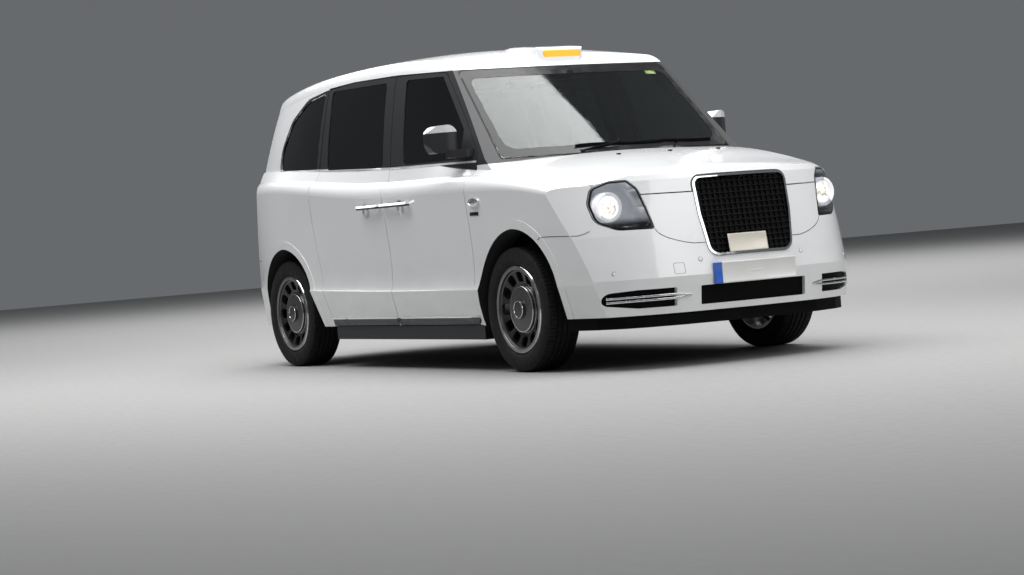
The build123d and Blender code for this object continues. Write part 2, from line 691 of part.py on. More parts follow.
wing = (body_form - wells - bay) & block((FRONT_EDGE, 2420), (400, FAR), (200, 1300))
wing = wing - bumper_region - bonnet_cut - lamp_gaps
wing = wing - block((1800, 2500), (300, FAR), (0, BUMPER_BOTTOM + 1))
wing = wing - nose_region
wing = wing - side_prism([(900, 1152), (1330, 1152), (1330, 1400), (900, 1400)], -FAR, FAR)
wing = wing - block((900, 1400), (0, CABIN_HALF_FLOOR), (0, 1300))
wing = wing - cabin
wing = wing + wheelhouse(FRONT_AXLE, FRONT_ARCH, ARCH_INNER_Y, BAY_HALF + 30)
wing = wing - block((FRONT_AXLE - 40, FRONT_AXLE + 40), (380, 460), (450, 500))
wing = wing + (front_band - bumper_region) - bumper
wing = wing - side_piece(FRONT_DOOR, FRONT_DOOR_ROUND, half_gap)
keep("front_wing_left", wing)


# Grille surround, which follows the curve of the nose, and the flat grille behind it
RIM_PROUD = 7.0
RIM_DEPTH = 34.0
FIN_FRONT = -24.0
PLATE_FRONT = -36.0
PLATE_BACK = -42.0
inner_face = -1.0 - GRILLE_RIM
rim_room = shifted(nose_form, dx=RIM_PROUD) - shifted(nose_form, dx=-RIM_DEPTH)
surround = leaning(grille_points, grille_round, -1.0, -120, 60)
surround = surround - leaning(grille_points, grille_round, inner_face, -150, 90)
keep("grille_surround", surround & rim_room)
grid = leaning(grille_points, grille_round, inner_face, PLATE_BACK, FIN_FRONT)
column_pitch = 2 * GRILLE[0][0] / GRILLE_COLUMNS
half_slot = (column_pitch - GRILLE_BAR) / 2
slots = []
for column in range(GRILLE_COLUMNS + 1):
    y = (column - GRILLE_COLUMNS / 2) * column_pitch
    slots.append(block((PLATE_FRONT, 10), (y - half_slot, y + half_slot), (500, 1050)))
slots = Compound(slots).rotate(Axis((0, 0, GRILLE_TOP[1]), (0, 1, 0)), -lean_angle)
keep("grille_mesh", grid - shifted(slots, dx=GRILLE_TOP[0]))

# Black lip under the front bumper
LIP_OUTER = ((1862, 824), (2060, 774), (2204, 700), (2274, 610), (2348, 428), (2388, 120))
LIP_INNER = ((1862, 764), (2040, 716), (2160, 655), (2220, 570), (2290, 400), (2325, 100))
lip = plan_prism(with_symmetry(LIP_OUTER), LIP_BOTTOM, BUMPER_BOTTOM,
                 (0, 60, 60, 60, 80, 80, 80, 80, 60, 60, 60, 0))
lip = lip - plan_prism(with_symmetry(LIP_INNER), 100, 400, 0)
lip = lip - wells
keep("front_lip", lip)

# Floor, battery and engine
floor = block((-2225, 1130), (-CABIN_HALF_FLOOR + 1, CABIN_HALF_FLOOR - 1),
              (FLOOR_TOP - FLOOR_THICK, FLOOR_TOP))
room_face = Face(arch_outline(REAR_AXLE, REAR_ARCH).outer_wire().offset_2d(
    LINER + 1, kind=Kind.INTERSECTION))
rear_room = stretch(room_face, "y", REAR_INNER_Y - LINER - 1, FAR)
front_face = Face(arch_outline(FRONT_AXLE, FRONT_ARCH).outer_wire().offset_2d(
    LINER + 1, kind=Kind.INTERSECTION))
front_room = stretch(front_face, "y", ARCH_INNER_Y - LINER - 1, FAR)
for room in (rear_room, front_room, rear_slot, lower_corner):
    floor = floor - room - other_side(room)
keep("floor_pan", floor)
keep("battery_pack", block((-880, 700), (-560, 560), (196, FLOOR_TOP - FLOOR_THICK)))
engine = block((1480, 1960), (-270, 270), (300, 800))
keep("engine_block", engine)

# Bulkhead, cowl and dashboard
bulkhead = block((1141, 1181), (-CABIN_HALF_FLOOR + 2, CABIN_HALF_FLOOR - 2), (300, 1040))
bulkhead = bulkhead - front_room - other_side(front_room)
cowl = (body_form - cabin) & block((1100, 1400), (-752, 752), (1040, 1300))
cowl = cowl - bonnet_cut - screen_cut - nodes["door_frame_left"] - other_side(
    nodes["door_frame_left"])
cowl = cowl - nodes["front_wing_left"] - other_side(nodes["front_wing_left"])
cowl = cowl - roof - screen_hole - windscreen
cowl = one_solid(cowl, "cowl")
keep("scuttle", cowl + bulkhead)
dash_side = [(1139, 560), (1139, 1050), (1020, 1085), (760, 1060), (700, 960), (740, 700),
             (960, 560)]
dash = side_prism(dash_side, -CABIN_HALF_BELT + 14, CABIN_HALF_BELT - 14, (0, 0, 40, 60, 60, 80, 60))

# Steering wheel and column at the driver's place
DRIVER_Y = -380.0
WHEEL_HUB = (600.0, DRIVER_Y, 985.0)
COLUMN_ANGLE = 26.0
STEERING_RADIUS = 185.0
COLUMN_RADIUS = 22.0
column_axis = Vector(-cos(radians(COLUMN_ANGLE)), 0, sin(radians(COLUMN_ANGLE)))
wheel_plane = Plane(origin=WHEEL_HUB, x_dir=(0, 1, 0), z_dir=column_axis)
rim_ring = Torus(STEERING_RADIUS, 15)
hub = Pos(0, 0, -8) * Cylinder(46, 34)
spoke = Pos(0, 0, -6) * Box(2 * STEERING_RADIUS - 8, 34, 12)
post = Pos(0, -STEERING_RADIUS / 2, -6) * Box(30, STEERING_RADIUS - 6, 12)
steering_wheel = rim_ring + hub + spoke + post
steering_wheel = wheel_plane.location * steering_wheel
column = wheel_plane.location * (Pos(0, 0, -26 - 6 - 160) * Cylinder(COLUMN_RADIUS, 320))
keep("steering_wheel", steering_wheel)
keep("dashboard", (dash - front_room - other_side(front_room)) + column)


# Seats and the partition behind the driver
def seat(x, y, width, facing, base_z, depth=500.0, back=620.0, head=True):
    """A cushion, a leaning back and a head restraint in one closed solid."""
    lean = 0.22
    cushion = Pos(x + facing * depth / 2, y, base_z + 70) * Box(depth, width, 140)
    cushion = fillet(cushion.edges().filter_by(Axis.Y), 45)
    points = [(x, base_z + 20), (x + facing * 120, base_z + 20),
              (x + facing * (120 - lean * back), base_z + back),
              (x + facing * (20 - lean * back), base_z + back)]
    rest = side_prism(points, y - width / 2, y + width / 2, (20, 20, 34, 34))
    solid = cushion + rest
    if head:
        top_x = x + facing * (66 - lean * (back + 100))
        pad = Pos(top_x, y, base_z + back + 95) * Box(76, 250, 170)
        pad = fillet(pad.edges().filter_by(Axis.Y), 30)
        stem = Pos(top_x + facing * 8, y, base_z + back) * Box(18, 130, 60)
        solid = solid + pad + stem
    return solid


driver_seat = seat(-60, DRIVER_Y, 500, 1, 520)
driver_base = block((-20, 400), (DRIVER_Y - 200, DRIVER_Y + 200), (FLOOR_TOP, 530))
keep("driver_seat", driver_seat + driver_base)
BENCH_BACK_X = -1640.0
bench = seat(BENCH_BACK_X, 0, 1060, 1, 560, head=False)
bench = bench + block((BENCH_BACK_X + 20, BENCH_BACK_X + 420), (-480, 480), (FLOOR_TOP, 570))
for y in (-350, 0, 350):
    pad = Pos(BENCH_BACK_X - 92, y, 560 + 620 + 85) * Box(76, 250, 170)
    stem = Pos(BENCH_BACK_X - 78, y, 560 + 620) * Box(16, 120, 60)
    bench = bench + fillet(pad.edges().filter_by(Axis.Y), 30) + stem
PARTITION_X = -330.0
jump_seats = []
for y in (-460, 0, 460):
    jump = block((PARTITION_X - 32 - 110, PARTITION_X - 32), (y - 200, y + 200), (560, 1120))
    jump_seats.append(fillet(jump.edges().filter_by(Axis.Y), 30))
keep("rear_bench", bench)
nodes["folding_seats"] = Compound([item.solids()[0] for item in jump_seats])
partition_section = front_symmetry([(CABIN_HALF_FLOOR - 2, FLOOR_TOP), (CABIN_HALF_FLOOR - 2, 1118),
                                    (CABIN_HALF_BELT - 2, 1200), (CABIN_HALF_ROOF + 20, 1640)])
partition = front_prism(partition_section, PARTITION_X - 30, PARTITION_X)
partition_window = front_prism(front_symmetry(((650, 1180), (560, 1590))), -600, 0, 40)
partition = partition - partition_window
partition_pane = front_prism(front_symmetry(((650, 1180), (560, 1590))), PARTITION_X - 18,
                             PARTITION_X - 13, 40)
keep("partition", partition)
nodes["fixed_glass"] = Compound([one_solid(windscreen, "windscreen"),
                                 one_solid(quarter_pane, "quarter"),
                                 other_side(one_solid(quarter_pane, "quarter")),
                                 partition_pane.solids()[0]])

# Roof sign
SIGN_PLAN = ((610, 110), (580, 152), (480, 164), (250, 158), (90, 100))
SIGN_SIDE = [(90, 1700), (700, 1700), (612, 1764), (600, 1812), (556, 1828), (440, 1843),
             (320, 1851), (180, 1856), (90, 1857)]
pod = plan_prism(with_symmetry(SIGN_PLAN), 1700, 1900, (30, 24, 60, 80, 60, 60, 80, 60, 24, 30))
pod = pod & side_prism(SIGN_SIDE, -400, 400, (0, 0, 0, 14, 60, 100, 100, 60, 0))
pod = pod - body_form
SIGN_LENS = ((128, 1768), (128, 1812))
lens_region = front_prism(front_symmetry(SIGN_LENS), 566, 700, 18)
keep("roof_sign_lens", pod & lens_region)
keep("roof_sign_pod", pod - lens_region)

# Tail lamps in the rear corners
TAIL_LAMP = ((618, 800), (800, 800), (800, 1120), (640, 1120))
tail_lamp = (tail_form & front_prism(TAIL_LAMP, -2600, -1900, 30)) - shifted(
    tail_form, dx=40, dy=-10)
tail_lamp = tail_lamp - tail_cut
tail_lamp = one_solid(tail_lamp, "tail lamp")
nodes["rear_quarter_left"] = one_solid(nodes["rear_quarter_left"] - tail_lamp, "quarter")
nodes["tail_lamps"] = Compound([tail_lamp, other_side(tail_lamp)])

# Wheels: a tyre on a dished rim, turning on a stub
tyre_half = TYRE_WIDTH / 2
tyre_profile = [(RIM_RADIUS, -90), (RIM_RADIUS + 12, -104), (285, -tyre_half), (318, -100),
                (TYRE_RADIUS - 4, -78), (TYRE_RADIUS, -50), (TYRE_RADIUS, 50),
                (TYRE_RADIUS - 4, 78), (318, 100), (285, tyre_half), (RIM_RADIUS + 12, 104),
                (RIM_RADIUS, 90)]


def spun(profile, radii):
    """A ring: a profile of radius and width turned about the wheel's axis."""
    wire = FilletPolyline(*[(r, y, 0) for r, y in profile], radius=list(radii), close=True)
    return revolve(Face(Wire(wire.edges())), Axis.Y, 360)


HUB_FLOOR = 70.0
SLOTS = 12
SLOT_INNER = 150.0
SLOT_OUTER = 207.0
hand_hole = Pos((SLOT_INNER + SLOT_OUTER) / 2, 60, 0) * Box(SLOT_OUTER - SLOT_INNER, 90, 62)
hand_hole = fillet(hand_hole.edges().filter_by(Axis.Y), 18)
tyre = spun(tyre_profile, (4, 6, 30, 30, 14, 30, 30, 14, 30, 30, 6, 4))
rim_profile = [(RIM_RADIUS, -88), (RIM_RADIUS, 90), (238, 97), (219, 97), (215, 82), (136, 56),
               (128, 58), (127, 76), (54, 82), (49, 84), (49, 93), (0, 96), (0, HUB_FLOOR),
               (STUB_RADIUS + STUB_GAP, HUB_FLOOR), (STUB_RADIUS + STUB_GAP, 26), (84, 26),
               (206, 66), (229, 52), (229, -88)]
rim = spun(rim_profile, (0, 3, 3, 4, 5, 4, 2, 3, 1, 0, 3, 0, 0, 0, 0, 4, 6, 4, 0))
for index in range(SLOTS):
    angle = index * 360 / SLOTS
    rim = rim - hand_hole.rotate(Axis.Y, angle)
for end, axle_x in (("front", FRONT_AXLE), ("rear", REAR_AXLE)):
    place = Location((axle_x, WHEEL_CENTRE_Y, TYRE_RADIUS))
    nodes["tyre_" + end + "_left"] = one_solid(tyre.moved(place), "tyre")
    nodes["rim_" + end + "_left"] = one_solid(rim.moved(place), "rim")

# Knuckles, arms and the rear axle
PIN_RADIUS = 11.0
PIN_GAP = 0.6
JOINT_RISE = 118.0
BOSS_RADIUS = 27.0
STUB_END = WHEEL_CENTRE_Y + HUB_FLOOR - 2


def stub_shaft(axle_x, y_start):
    """The shaft that a wheel turns on, from a place inboard to just short of the hub's cap."""
    length = STUB_END - y_start
    return Cylinder(STUB_RADIUS, length, rotation=(90, 0, 0)).moved(
        Location((axle_x, y_start + length / 2, TYRE_RADIUS)))


stub = stub_shaft(FRONT_AXLE, KINGPIN_Y)
flange = Cylinder(70, 14, rotation=(90, 0, 0)).moved(
    Location((FRONT_AXLE, KINGPIN_Y + 12, TYRE_RADIUS)))
boss = Cylinder(BOSS_RADIUS, 2 * JOINT_RISE).moved(
    Location((FRONT_AXLE, KINGPIN_Y, TYRE_RADIUS)))
knuckle = stub + flange + boss
arms = []
for side in (-1, 1):
    z = TYRE_RADIUS + side * JOINT_RISE
    bore = Cylinder(PIN_RADIUS + PIN_GAP, 80).moved(Location((FRONT_AXLE, KINGPIN_Y, z)))
    knuckle = knuckle - bore
    level = z + side * (6 + 8)
    arm = block((FRONT_AXLE - 22, FRONT_AXLE + 22), (340, KINGPIN_Y + 20), (level - 8, level + 8))
    pin_top = Cylinder(PIN_RADIUS, 40).moved(Location((FRONT_AXLE, KINGPIN_Y, z + side * 2)))
    arms.append(arm + pin_top)
keep("knuckle_left", knuckle)
tower = block((FRONT_AXLE - 50, FRONT_AXLE + 50), (300, 345), (205, 500))
front_half = arms[0] + arms[1] + tower
beam = block((FRONT_AXLE - 60, FRONT_AXLE + 60), (-345, 345), (205, 285))
front_set = beam + front_half + other_side(front_half)
rear_stub = stub_shaft(REAR_AXLE, KINGPIN_Y - 110)
rear_flange = Cylinder(70, 14, rotation=(90, 0, 0)).moved(
    Location((REAR_AXLE, KINGPIN_Y + 12, TYRE_RADIUS)))
rear_arm = block((REAR_AXLE - 35, REAR_AXLE + 35), (500, KINGPIN_Y - 60), (305, 381))
rear_beam = block((REAR_AXLE - 50, REAR_AXLE + 50), (-520, 520), (200, 280))
rear_link = block((REAR_AXLE - 35, REAR_AXLE + 35), (490, 530), (205, 381))
rear_half = rear_stub + rear_flange + rear_arm + rear_link
rear_set = rear_beam + rear_half + other_side(rear_half)
nodes["suspension"] = Compound([one_solid(front_set, "front set"), one_solid(rear_set, "rear set")])

# Mirrors on the front doors and the two handles beside each shut line
MIRROR_PLAN = ((852, 862), (838, 930), (772, 1000), (716, 1018), (698, 1004), (742, 862))
MIRROR_FRONT = ((862, 1244), (862, 1352), (905, 1396), (975, 1392), (1018, 1350), (1018, 1300),
                (985, 1236))
mirror_shell = plan_prism(MIRROR_PLAN, 1200, 1420, (22, 60, 60, 14, 10, 14))
mirror_shell = mirror_shell & front_prism(MIRROR_FRONT, 600, 950, (10, 40, 50, 50, 30, 30, 24))
MIRROR_FOOT = ((812, 800), (950, 800), (950, 872), (850, 930), (790, 930))
mirror_foot = plan_prism(MIRROR_FOOT, 1206, 1250, (0, 0, 16, 30, 16))
mirror_shell = mirror_shell + mirror_foot
keep("mirror_left", mirror_shell - nodes["door_front_left"])
for place, x_span in (("front", (-20, 310)), ("rear", (-330, -70))):
    low, high = x_span
    grip = block((low, high), (952, 966), (962, 986))
    feet = [block((low + 6, low + 26), (900, 954), (964, 984)),
            block((high - 26, high - 6), (900, 954), (964, 984))]
    handle = grip + feet[0] + feet[1]
    handle = handle - nodes["door_" + place + "_left"]
    keep("handle_" + place + "_left", handle)

os.makedirs("parts", exist_ok=True)
for name in list(nodes):
    if name.endswith("_left"):
        nodes[name[:-5] + "_right"] = other_side(nodes[name])
for name, shape in nodes.items():
    export_step(shape, "parts/" + name + ".step")
print(len(nodes), "nodes")
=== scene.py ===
# %% [markdown]
# A purpose built taxi cab, white, with four doors, a tall cabin and a round tail.
# The imported solids come first and stay where they are. Everything here is in metres, with X
# forward, Y to the car's left and Z up.

# %% Load the imported cab
import math
import bpy
from mathutils import Matrix, Vector


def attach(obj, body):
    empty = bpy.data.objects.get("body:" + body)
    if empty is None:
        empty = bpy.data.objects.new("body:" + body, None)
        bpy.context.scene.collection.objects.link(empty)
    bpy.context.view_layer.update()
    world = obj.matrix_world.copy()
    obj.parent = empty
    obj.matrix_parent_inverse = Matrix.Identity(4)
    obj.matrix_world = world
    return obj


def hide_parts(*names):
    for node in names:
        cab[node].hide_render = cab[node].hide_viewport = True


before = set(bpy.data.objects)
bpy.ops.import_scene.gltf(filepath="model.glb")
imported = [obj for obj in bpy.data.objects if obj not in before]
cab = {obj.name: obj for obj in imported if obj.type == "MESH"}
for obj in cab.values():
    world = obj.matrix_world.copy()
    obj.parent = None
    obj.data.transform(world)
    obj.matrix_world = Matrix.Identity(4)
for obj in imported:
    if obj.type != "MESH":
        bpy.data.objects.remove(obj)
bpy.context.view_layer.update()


# %% [markdown]
# The camera stands low in front of the cab's right corner, far off with a long lens, which
# keeps the shapes true. It leans a little, so the axes of the view are built from three
# angles: the bearing, the height angle and the roll.

# %% Camera
CAMERA_PLACE = Vector((13.532, -7.6676, 0.80565))
CAMERA_BEARING = math.radians(60.850)
CAMERA_RISE = math.radians(1.399)
CAMERA_ROLL = math.radians(-4.398)
FOCAL_PIXELS = 2555.73
PHOTO_WIDTH = 1024

ahead = Vector((-math.sin(CAMERA_BEARING) * math.cos(CAMERA_RISE),
                math.cos(CAMERA_BEARING) * math.cos(CAMERA_RISE),
                -math.sin(CAMERA_RISE)))
level = Vector((math.cos(CAMERA_BEARING), math.sin(CAMERA_BEARING), 0))
upright = level.cross(ahead)
side = level * math.cos(CAMERA_ROLL) + upright * math.sin(CAMERA_ROLL)
above = upright * math.cos(CAMERA_ROLL) - level * math.sin(CAMERA_ROLL)
camera_data = bpy.data.cameras.new("photo_view")
camera_data.sensor_width = 36.0
camera_data.lens = FOCAL_PIXELS / PHOTO_WIDTH * 36.0
camera_data.clip_start = 0.1
camera_data.clip_end = 200.0
camera = bpy.data.objects.new("photo_view", camera_data)
camera.matrix_world = Matrix((
    (side.x, above.x, -ahead.x, CAMERA_PLACE.x),
    (side.y, above.y, -ahead.y, CAMERA_PLACE.y),
    (side.z, above.z, -ahead.z, CAMERA_PLACE.z),
    (0, 0, 0, 1)))
bpy.context.scene.collection.objects.link(camera)
bpy.context.scene.camera = camera
print("lens", round(camera_data.lens, 2), "mm")


# %% [markdown]
# A pale floor and large soft lights stand in for an overcast sky. Gloss paint shows what it
# mirrors, so the lights are wide panels: one overhead, one long panel on the side that faces
# the camera, one in front, and one over the floor behind, where the cab doesn't mirror it.
# The plain view transform keeps whites white and blacks black.

# %% Floor and light
bpy.ops.object.select_all(action="DESELECT")
bpy.ops.mesh.primitive_plane_add(size=60, location=(0, 0, 0))
floor = bpy.context.object
floor.name = "studio_floor"

world = bpy.data.worlds.new("studio_sky")
world.use_nodes = True
sky = world.node_tree.nodes["Background"]
sky.inputs["Color"].default_value = (0.80, 0.84, 0.88, 1)
sky.inputs["Strength"].default_value = 0.17
bpy.context.scene.world = world


def soft_panel(name, place, aim, width, height, watts):
    """A wide area light that looks at a point."""
    data = bpy.data.lights.new(name, "AREA")
    data.shape = "RECTANGLE"
    data.size, data.size_y = width, height
    data.energy = watts
    panel = bpy.data.objects.new(name, data)
    panel.location = place
    panel.rotation_euler = (Vector(aim) - Vector(place)).to_track_quat("-Z", "Y").to_euler()
    bpy.context.scene.collection.objects.link(panel)
    return panel


soft_panel("overhead", (0.8, -0.7, 6.0), (0.4, -0.2, 0), 11, 6, 1020)
soft_panel("behind", (-10.0, 7.0, 7.0), (-10.0, 7.0, 0), 13, 18, 1900)
soft_panel("near_side", (3.0, -9.0, 5.0), (0, 0, 0.8), 10, 3, 20)
soft_panel("front", (9.5, 0.5, 4.6), (1.8, 0, 0.8), 7, 4, 210)
bpy.context.scene.view_settings.view_transform = "Standard"
print(len(bpy.data.lights), "lights")


# %% [markdown]
# Every finish is made from nodes. These helpers give a finish its shader, its place on the
# object, and grain that changes its colour, its gloss or its surface. One helper each keeps
# the finishes below short enough to read.

# %% Helpers for finishes
def new_finish(name, colour, roughness, metallic=0.0):
    """A material with one shader, with values that are the same all over set on it."""
    finish = bpy.data.materials.new(name)
    finish.use_nodes = True
    shader = finish.node_tree.nodes["Principled BSDF"]
    shader.inputs["Base Color"].default_value = (*colour, 1)
    shader.inputs["Roughness"].default_value = roughness
    shader.inputs["Metallic"].default_value = metallic
    return finish


def shader_of(finish):
    return finish.node_tree.nodes["Principled BSDF"]


def node(finish, kind, **settings):
    made = finish.node_tree.nodes.new(kind)
    for key, value in settings.items():
        if key in made.inputs:
            made.inputs[key].default_value = value
        else:
            setattr(made, key, value)
    return made


def link(finish, source, target):
    finish.node_tree.links.new(source, target)


print("finish makers ready")


# %% [markdown]
# A grain or a mask reads the place on the object. These helpers give that place and cloudy
# noise over it, and turn a value into another range or into a colour between two.

# %% Helpers for place and grain
def place_on(finish, stretch=(1, 1, 1)):
    """Object coordinates in metres, stretched."""
    where = node(finish, "ShaderNodeTexCoord")
    mapping = node(finish, "ShaderNodeMapping", Scale=stretch)
    link(finish, where.outputs["Object"], mapping.inputs["Vector"])
    return mapping.outputs["Vector"]


def grain(finish, scale, detail=3.0, stretch=(1, 1, 1)):
    """Cloudy noise, from 0 to 1."""
    noise = node(finish, "ShaderNodeTexNoise", Scale=scale, Detail=detail)
    link(finish, place_on(finish, stretch), noise.inputs["Vector"])
    return noise.outputs["Fac"]


def spread(finish, source, low, high, start=0.3, end=0.7, **settings):
    """A value moved from one range to another."""
    made = node(finish, "ShaderNodeMapRange", **settings)
    for key, value in (("From Min", start), ("From Max", end), ("To Min", low), ("To Max", high)):
        made.inputs[key].default_value = value
    link(finish, source, made.inputs["Value"])
    return made.outputs["Result"]


def two_colours(finish, source, first, second):
    """A colour between two, by a value from 0 to 1. Each is a colour or a socket."""
    mix = node(finish, "ShaderNodeMix", data_type="RGBA")
    link(finish, source, mix.inputs[0])
    for index, colour in ((6, first), (7, second)):
        if isinstance(colour, tuple):
            mix.inputs[index].default_value = (*colour, 1)
        else:
            link(finish, colour, mix.inputs[index])
    return mix.outputs[2]


print("place helpers ready")


# %% [markdown]
# Masks are made by sums: compare a coordinate with a limit, multiply where all must hold, and
# take the larger where one is enough. A value can also stand up from the surface as a bump.

# %% Helpers for masks and bumps
def math_of(finish, operation, first, second=0.0):
    made = node(finish, "ShaderNodeMath", operation=operation)
    for socket, value in zip(made.inputs, (first, second)):
        if isinstance(value, (int, float)):
            socket.default_value = value
        else:
            link(finish, value, socket)
    return made.outputs[0]


def times(finish, *values):
    """The product of values. For masks it is 1 where all of them are."""
    product = values[0]
    for value in values[1:]:
        product = math_of(finish, "MULTIPLY", product, value)
    return product


def relief(finish, source, strength, distance):
    """A bump on the shader, over any bump that is already there."""
    bump = node(finish, "ShaderNodeBump", Strength=strength, Distance=distance)
    link(finish, source, bump.inputs["Height"])
    normal = shader_of(finish).inputs["Normal"]
    if normal.links:
        link(finish, normal.links[0].from_socket, bump.inputs["Normal"])
    link(finish, bump.outputs["Normal"], normal)


def axis_of(finish, name):
    """One coordinate of the place on the object: X, Y or Z."""
    split = node(finish, "ShaderNodeSeparateXYZ")
    link(finish, place_on(finish), split.inputs[0])
    return split.outputs[name]


print("mask helpers ready")


# %% [markdown]
# A finish goes on the nodes of the solids by their names, and most of those come in a left and
# a right one. Whatever goes around a wheel is measured from the wheel's axle.

# %% Helpers for pairs, nodes and wheels
def wear(finish, finish_name, *names):
    """Gives one finish to CAD nodes."""
    for name in names:
        cab[name].data.materials.clear()
        cab[name].data.materials.append(finish)
    print(finish_name, "on", len(names), "nodes")


AXLES = {"front": 1.3985, "rear": -1.5865}
AXLE_HEIGHT = 0.343


def from_axle(finish, axle_x):
    """The distance from an axle, and the turn around it."""
    x = math_of(finish, "SUBTRACT", axis_of(finish, "X"), axle_x)
    z = math_of(finish, "SUBTRACT", axis_of(finish, "Z"), AXLE_HEIGHT)
    square = math_of(finish, "ADD", times(finish, x, x), times(finish, z, z))
    return math_of(finish, "SQRT", square), math_of(finish, "ARCTAN2", z, x)


SIDES = (("left", 1), ("right", -1))


def paired(*names):
    """Names with a left and a right added to each."""
    return [f"{name}_{label}" for label, _ in SIDES for name in names]


print("helpers ready for", len(cab), "nodes")


# %% [markdown]
# The body is white gloss paint under a clear coat. Real paint isn't a perfect mirror: it has a
# faint orange peel, and a film of dust dulls it near the ground. The clear coat is the shader's
# own coat, the orange peel is a very weak bump, and the film follows the height.

# %% White paint
PAINT_WHITE, PAINT_DUSTY = (0.80, 0.81, 0.82), (0.46, 0.44, 0.41)
COAT_WEIGHT = 0.9
FILM_FULL, FILM_GONE = 0.25, 0.85


def paint_surface(finish):
    """Orange peel, and a thin film of dust that fades out above the sills."""
    shader = shader_of(finish)
    shader.inputs["Coat Weight"].default_value = COAT_WEIGHT
    shader.inputs["Coat Roughness"].default_value = 0.04
    relief(finish, grain(finish, 420, 2), 0.05, 0.0006)
    film = spread(finish, axis_of(finish, "Z"), 0.5, 0.0, FILM_FULL, FILM_GONE)
    return times(finish, film, grain(finish, 5.0, 6, (1, 1, 2.2)))


white_paint = new_finish("white_paint", PAINT_WHITE, 0.24)
film = paint_surface(white_paint)
link(white_paint, two_colours(white_paint, film, PAINT_WHITE, PAINT_DUSTY),
     shader_of(white_paint).inputs["Base Color"])
link(white_paint, spread(white_paint, film, 0.22, 0.5, 0.0, 0.4),
     shader_of(white_paint).inputs["Roughness"])
wear(white_paint, "white paint", "bonnet", "nose_panel", "roof_sign_pod")


# %% [markdown]
# Above the belt the doors and pillars are satin black, inside they are trimmed in dark
# plastic, and below they are white. The real car changes paint along a clean masked edge, so
# the finish does too: it reads the place on the object and picks the colour there. The belt
# falls from back to front, so its height is a curve over X.

# %% Painted doors and pillars with black upper frames
BELT_POINTS = ((-1.80, 1.273), (-1.636, 1.264), (-1.034, 1.233), (-0.067, 1.190), (0.830, 1.175),
               (1.261, 1.164), (1.40, 1.158))
BELT_FROM, BELT_TO = BELT_POINTS[0][0], BELT_POINTS[-1][0]
BELT_BASE = 1.0
LEAN_FROM, LEAN_TO = 1.20, 1.75
DOOR_FOOT = 0.262


def belt_height(finish):
    """The height of the belt line at this X."""
    share = spread(finish, axis_of(finish, "X"), 0.0, 1.0, BELT_FROM, BELT_TO)
    curve = node(finish, "ShaderNodeFloatCurve")
    points = curve.mapping.curves[0].points
    wanted = [((x - BELT_FROM) / (BELT_TO - BELT_FROM), z - BELT_BASE)
              for x, z in BELT_POINTS]
    points[0].location, points[-1].location = wanted[0], wanted[-1]
    for place in wanted[1:-1]:
        points.new(*place)
    curve.mapping.update()
    link(finish, share, curve.inputs["Value"])
    return math_of(finish, "ADD", curve.outputs[0], BELT_BASE)


def outside_of(finish, low, high):
    """1 where the distance from the car's middle plane is past a width that falls with height."""
    z = axis_of(finish, "Z")
    y = math_of(finish, "ABSOLUTE", axis_of(finish, "Y"))
    width = spread(finish, z, low, high, LEAN_FROM, LEAN_TO)
    return math_of(finish, "GREATER_THAN", y, width)


def two_tone(name, upper_colour, inner_width, inner_top):
    """White below the belt, satin black above it, dark trim on the inner face."""
    finish = new_finish(name, (0.8, 0.8, 0.8), 0.3)
    shader = shader_of(finish)
    white = two_colours(finish, paint_surface(finish), PAINT_WHITE, PAINT_DUSTY)
    above = math_of(finish, "GREATER_THAN", axis_of(finish, "Z"), belt_height(finish))
    outer = outside_of(finish, inner_width, inner_top)
    sill = math_of(finish, "GREATER_THAN", axis_of(finish, "Z"), DOOR_FOOT)
    painted = times(finish, math_of(finish, "SUBTRACT", 1.0, above), outer, sill)
    dark = two_colours(finish, grain(finish, 60, 3), upper_colour,
                       tuple(value * 1.35 for value in upper_colour))
    link(finish, two_colours(finish, painted, dark, white), shader.inputs["Base Color"])
    link(finish, spread(finish, painted, 0.50, 0.22, 0.0, 1.0), shader.inputs["Roughness"])
    link(finish, spread(finish, painted, 0.0, COAT_WEIGHT, 0.0, 1.0),
         shader.inputs["Coat Weight"])
    return finish


door_finish = two_tone("door_white_and_black", (0.012, 0.0125, 0.014), 0.845, 0.60)
wear(door_finish, "door finish", *paired("door_front", "door_rear", "door_frame"))


# %% [markdown]
# Behind each handle the door is pressed in, so that fingers fit. The hollow is shallow, so it
# is a bump: a round mask, deepest in its middle. Its upper part lies in the shadow of the
# handle and is darkened.

# %% Hollows behind the door handles
HANDLE_CUPS = ((-0.277, 0.955), (0.185, 0.954))
CUP_RADIUS, CUP_DEPTH = 0.052, 0.050


def round_hollow(finish, along, up, radius):
    """1 in the middle of a round hollow on the side of the car, and 0 past its edge."""
    x = math_of(finish, "SUBTRACT", axis_of(finish, "X"), along)
    z = math_of(finish, "SUBTRACT", axis_of(finish, "Z"), up)
    away = math_of(finish, "SQRT", math_of(finish, "ADD", times(finish, x, x),
                                           times(finish, z, z)))
    return spread(finish, away, 1.0, 0.0, 0.2 * radius, radius, interpolation_type="SMOOTHSTEP")


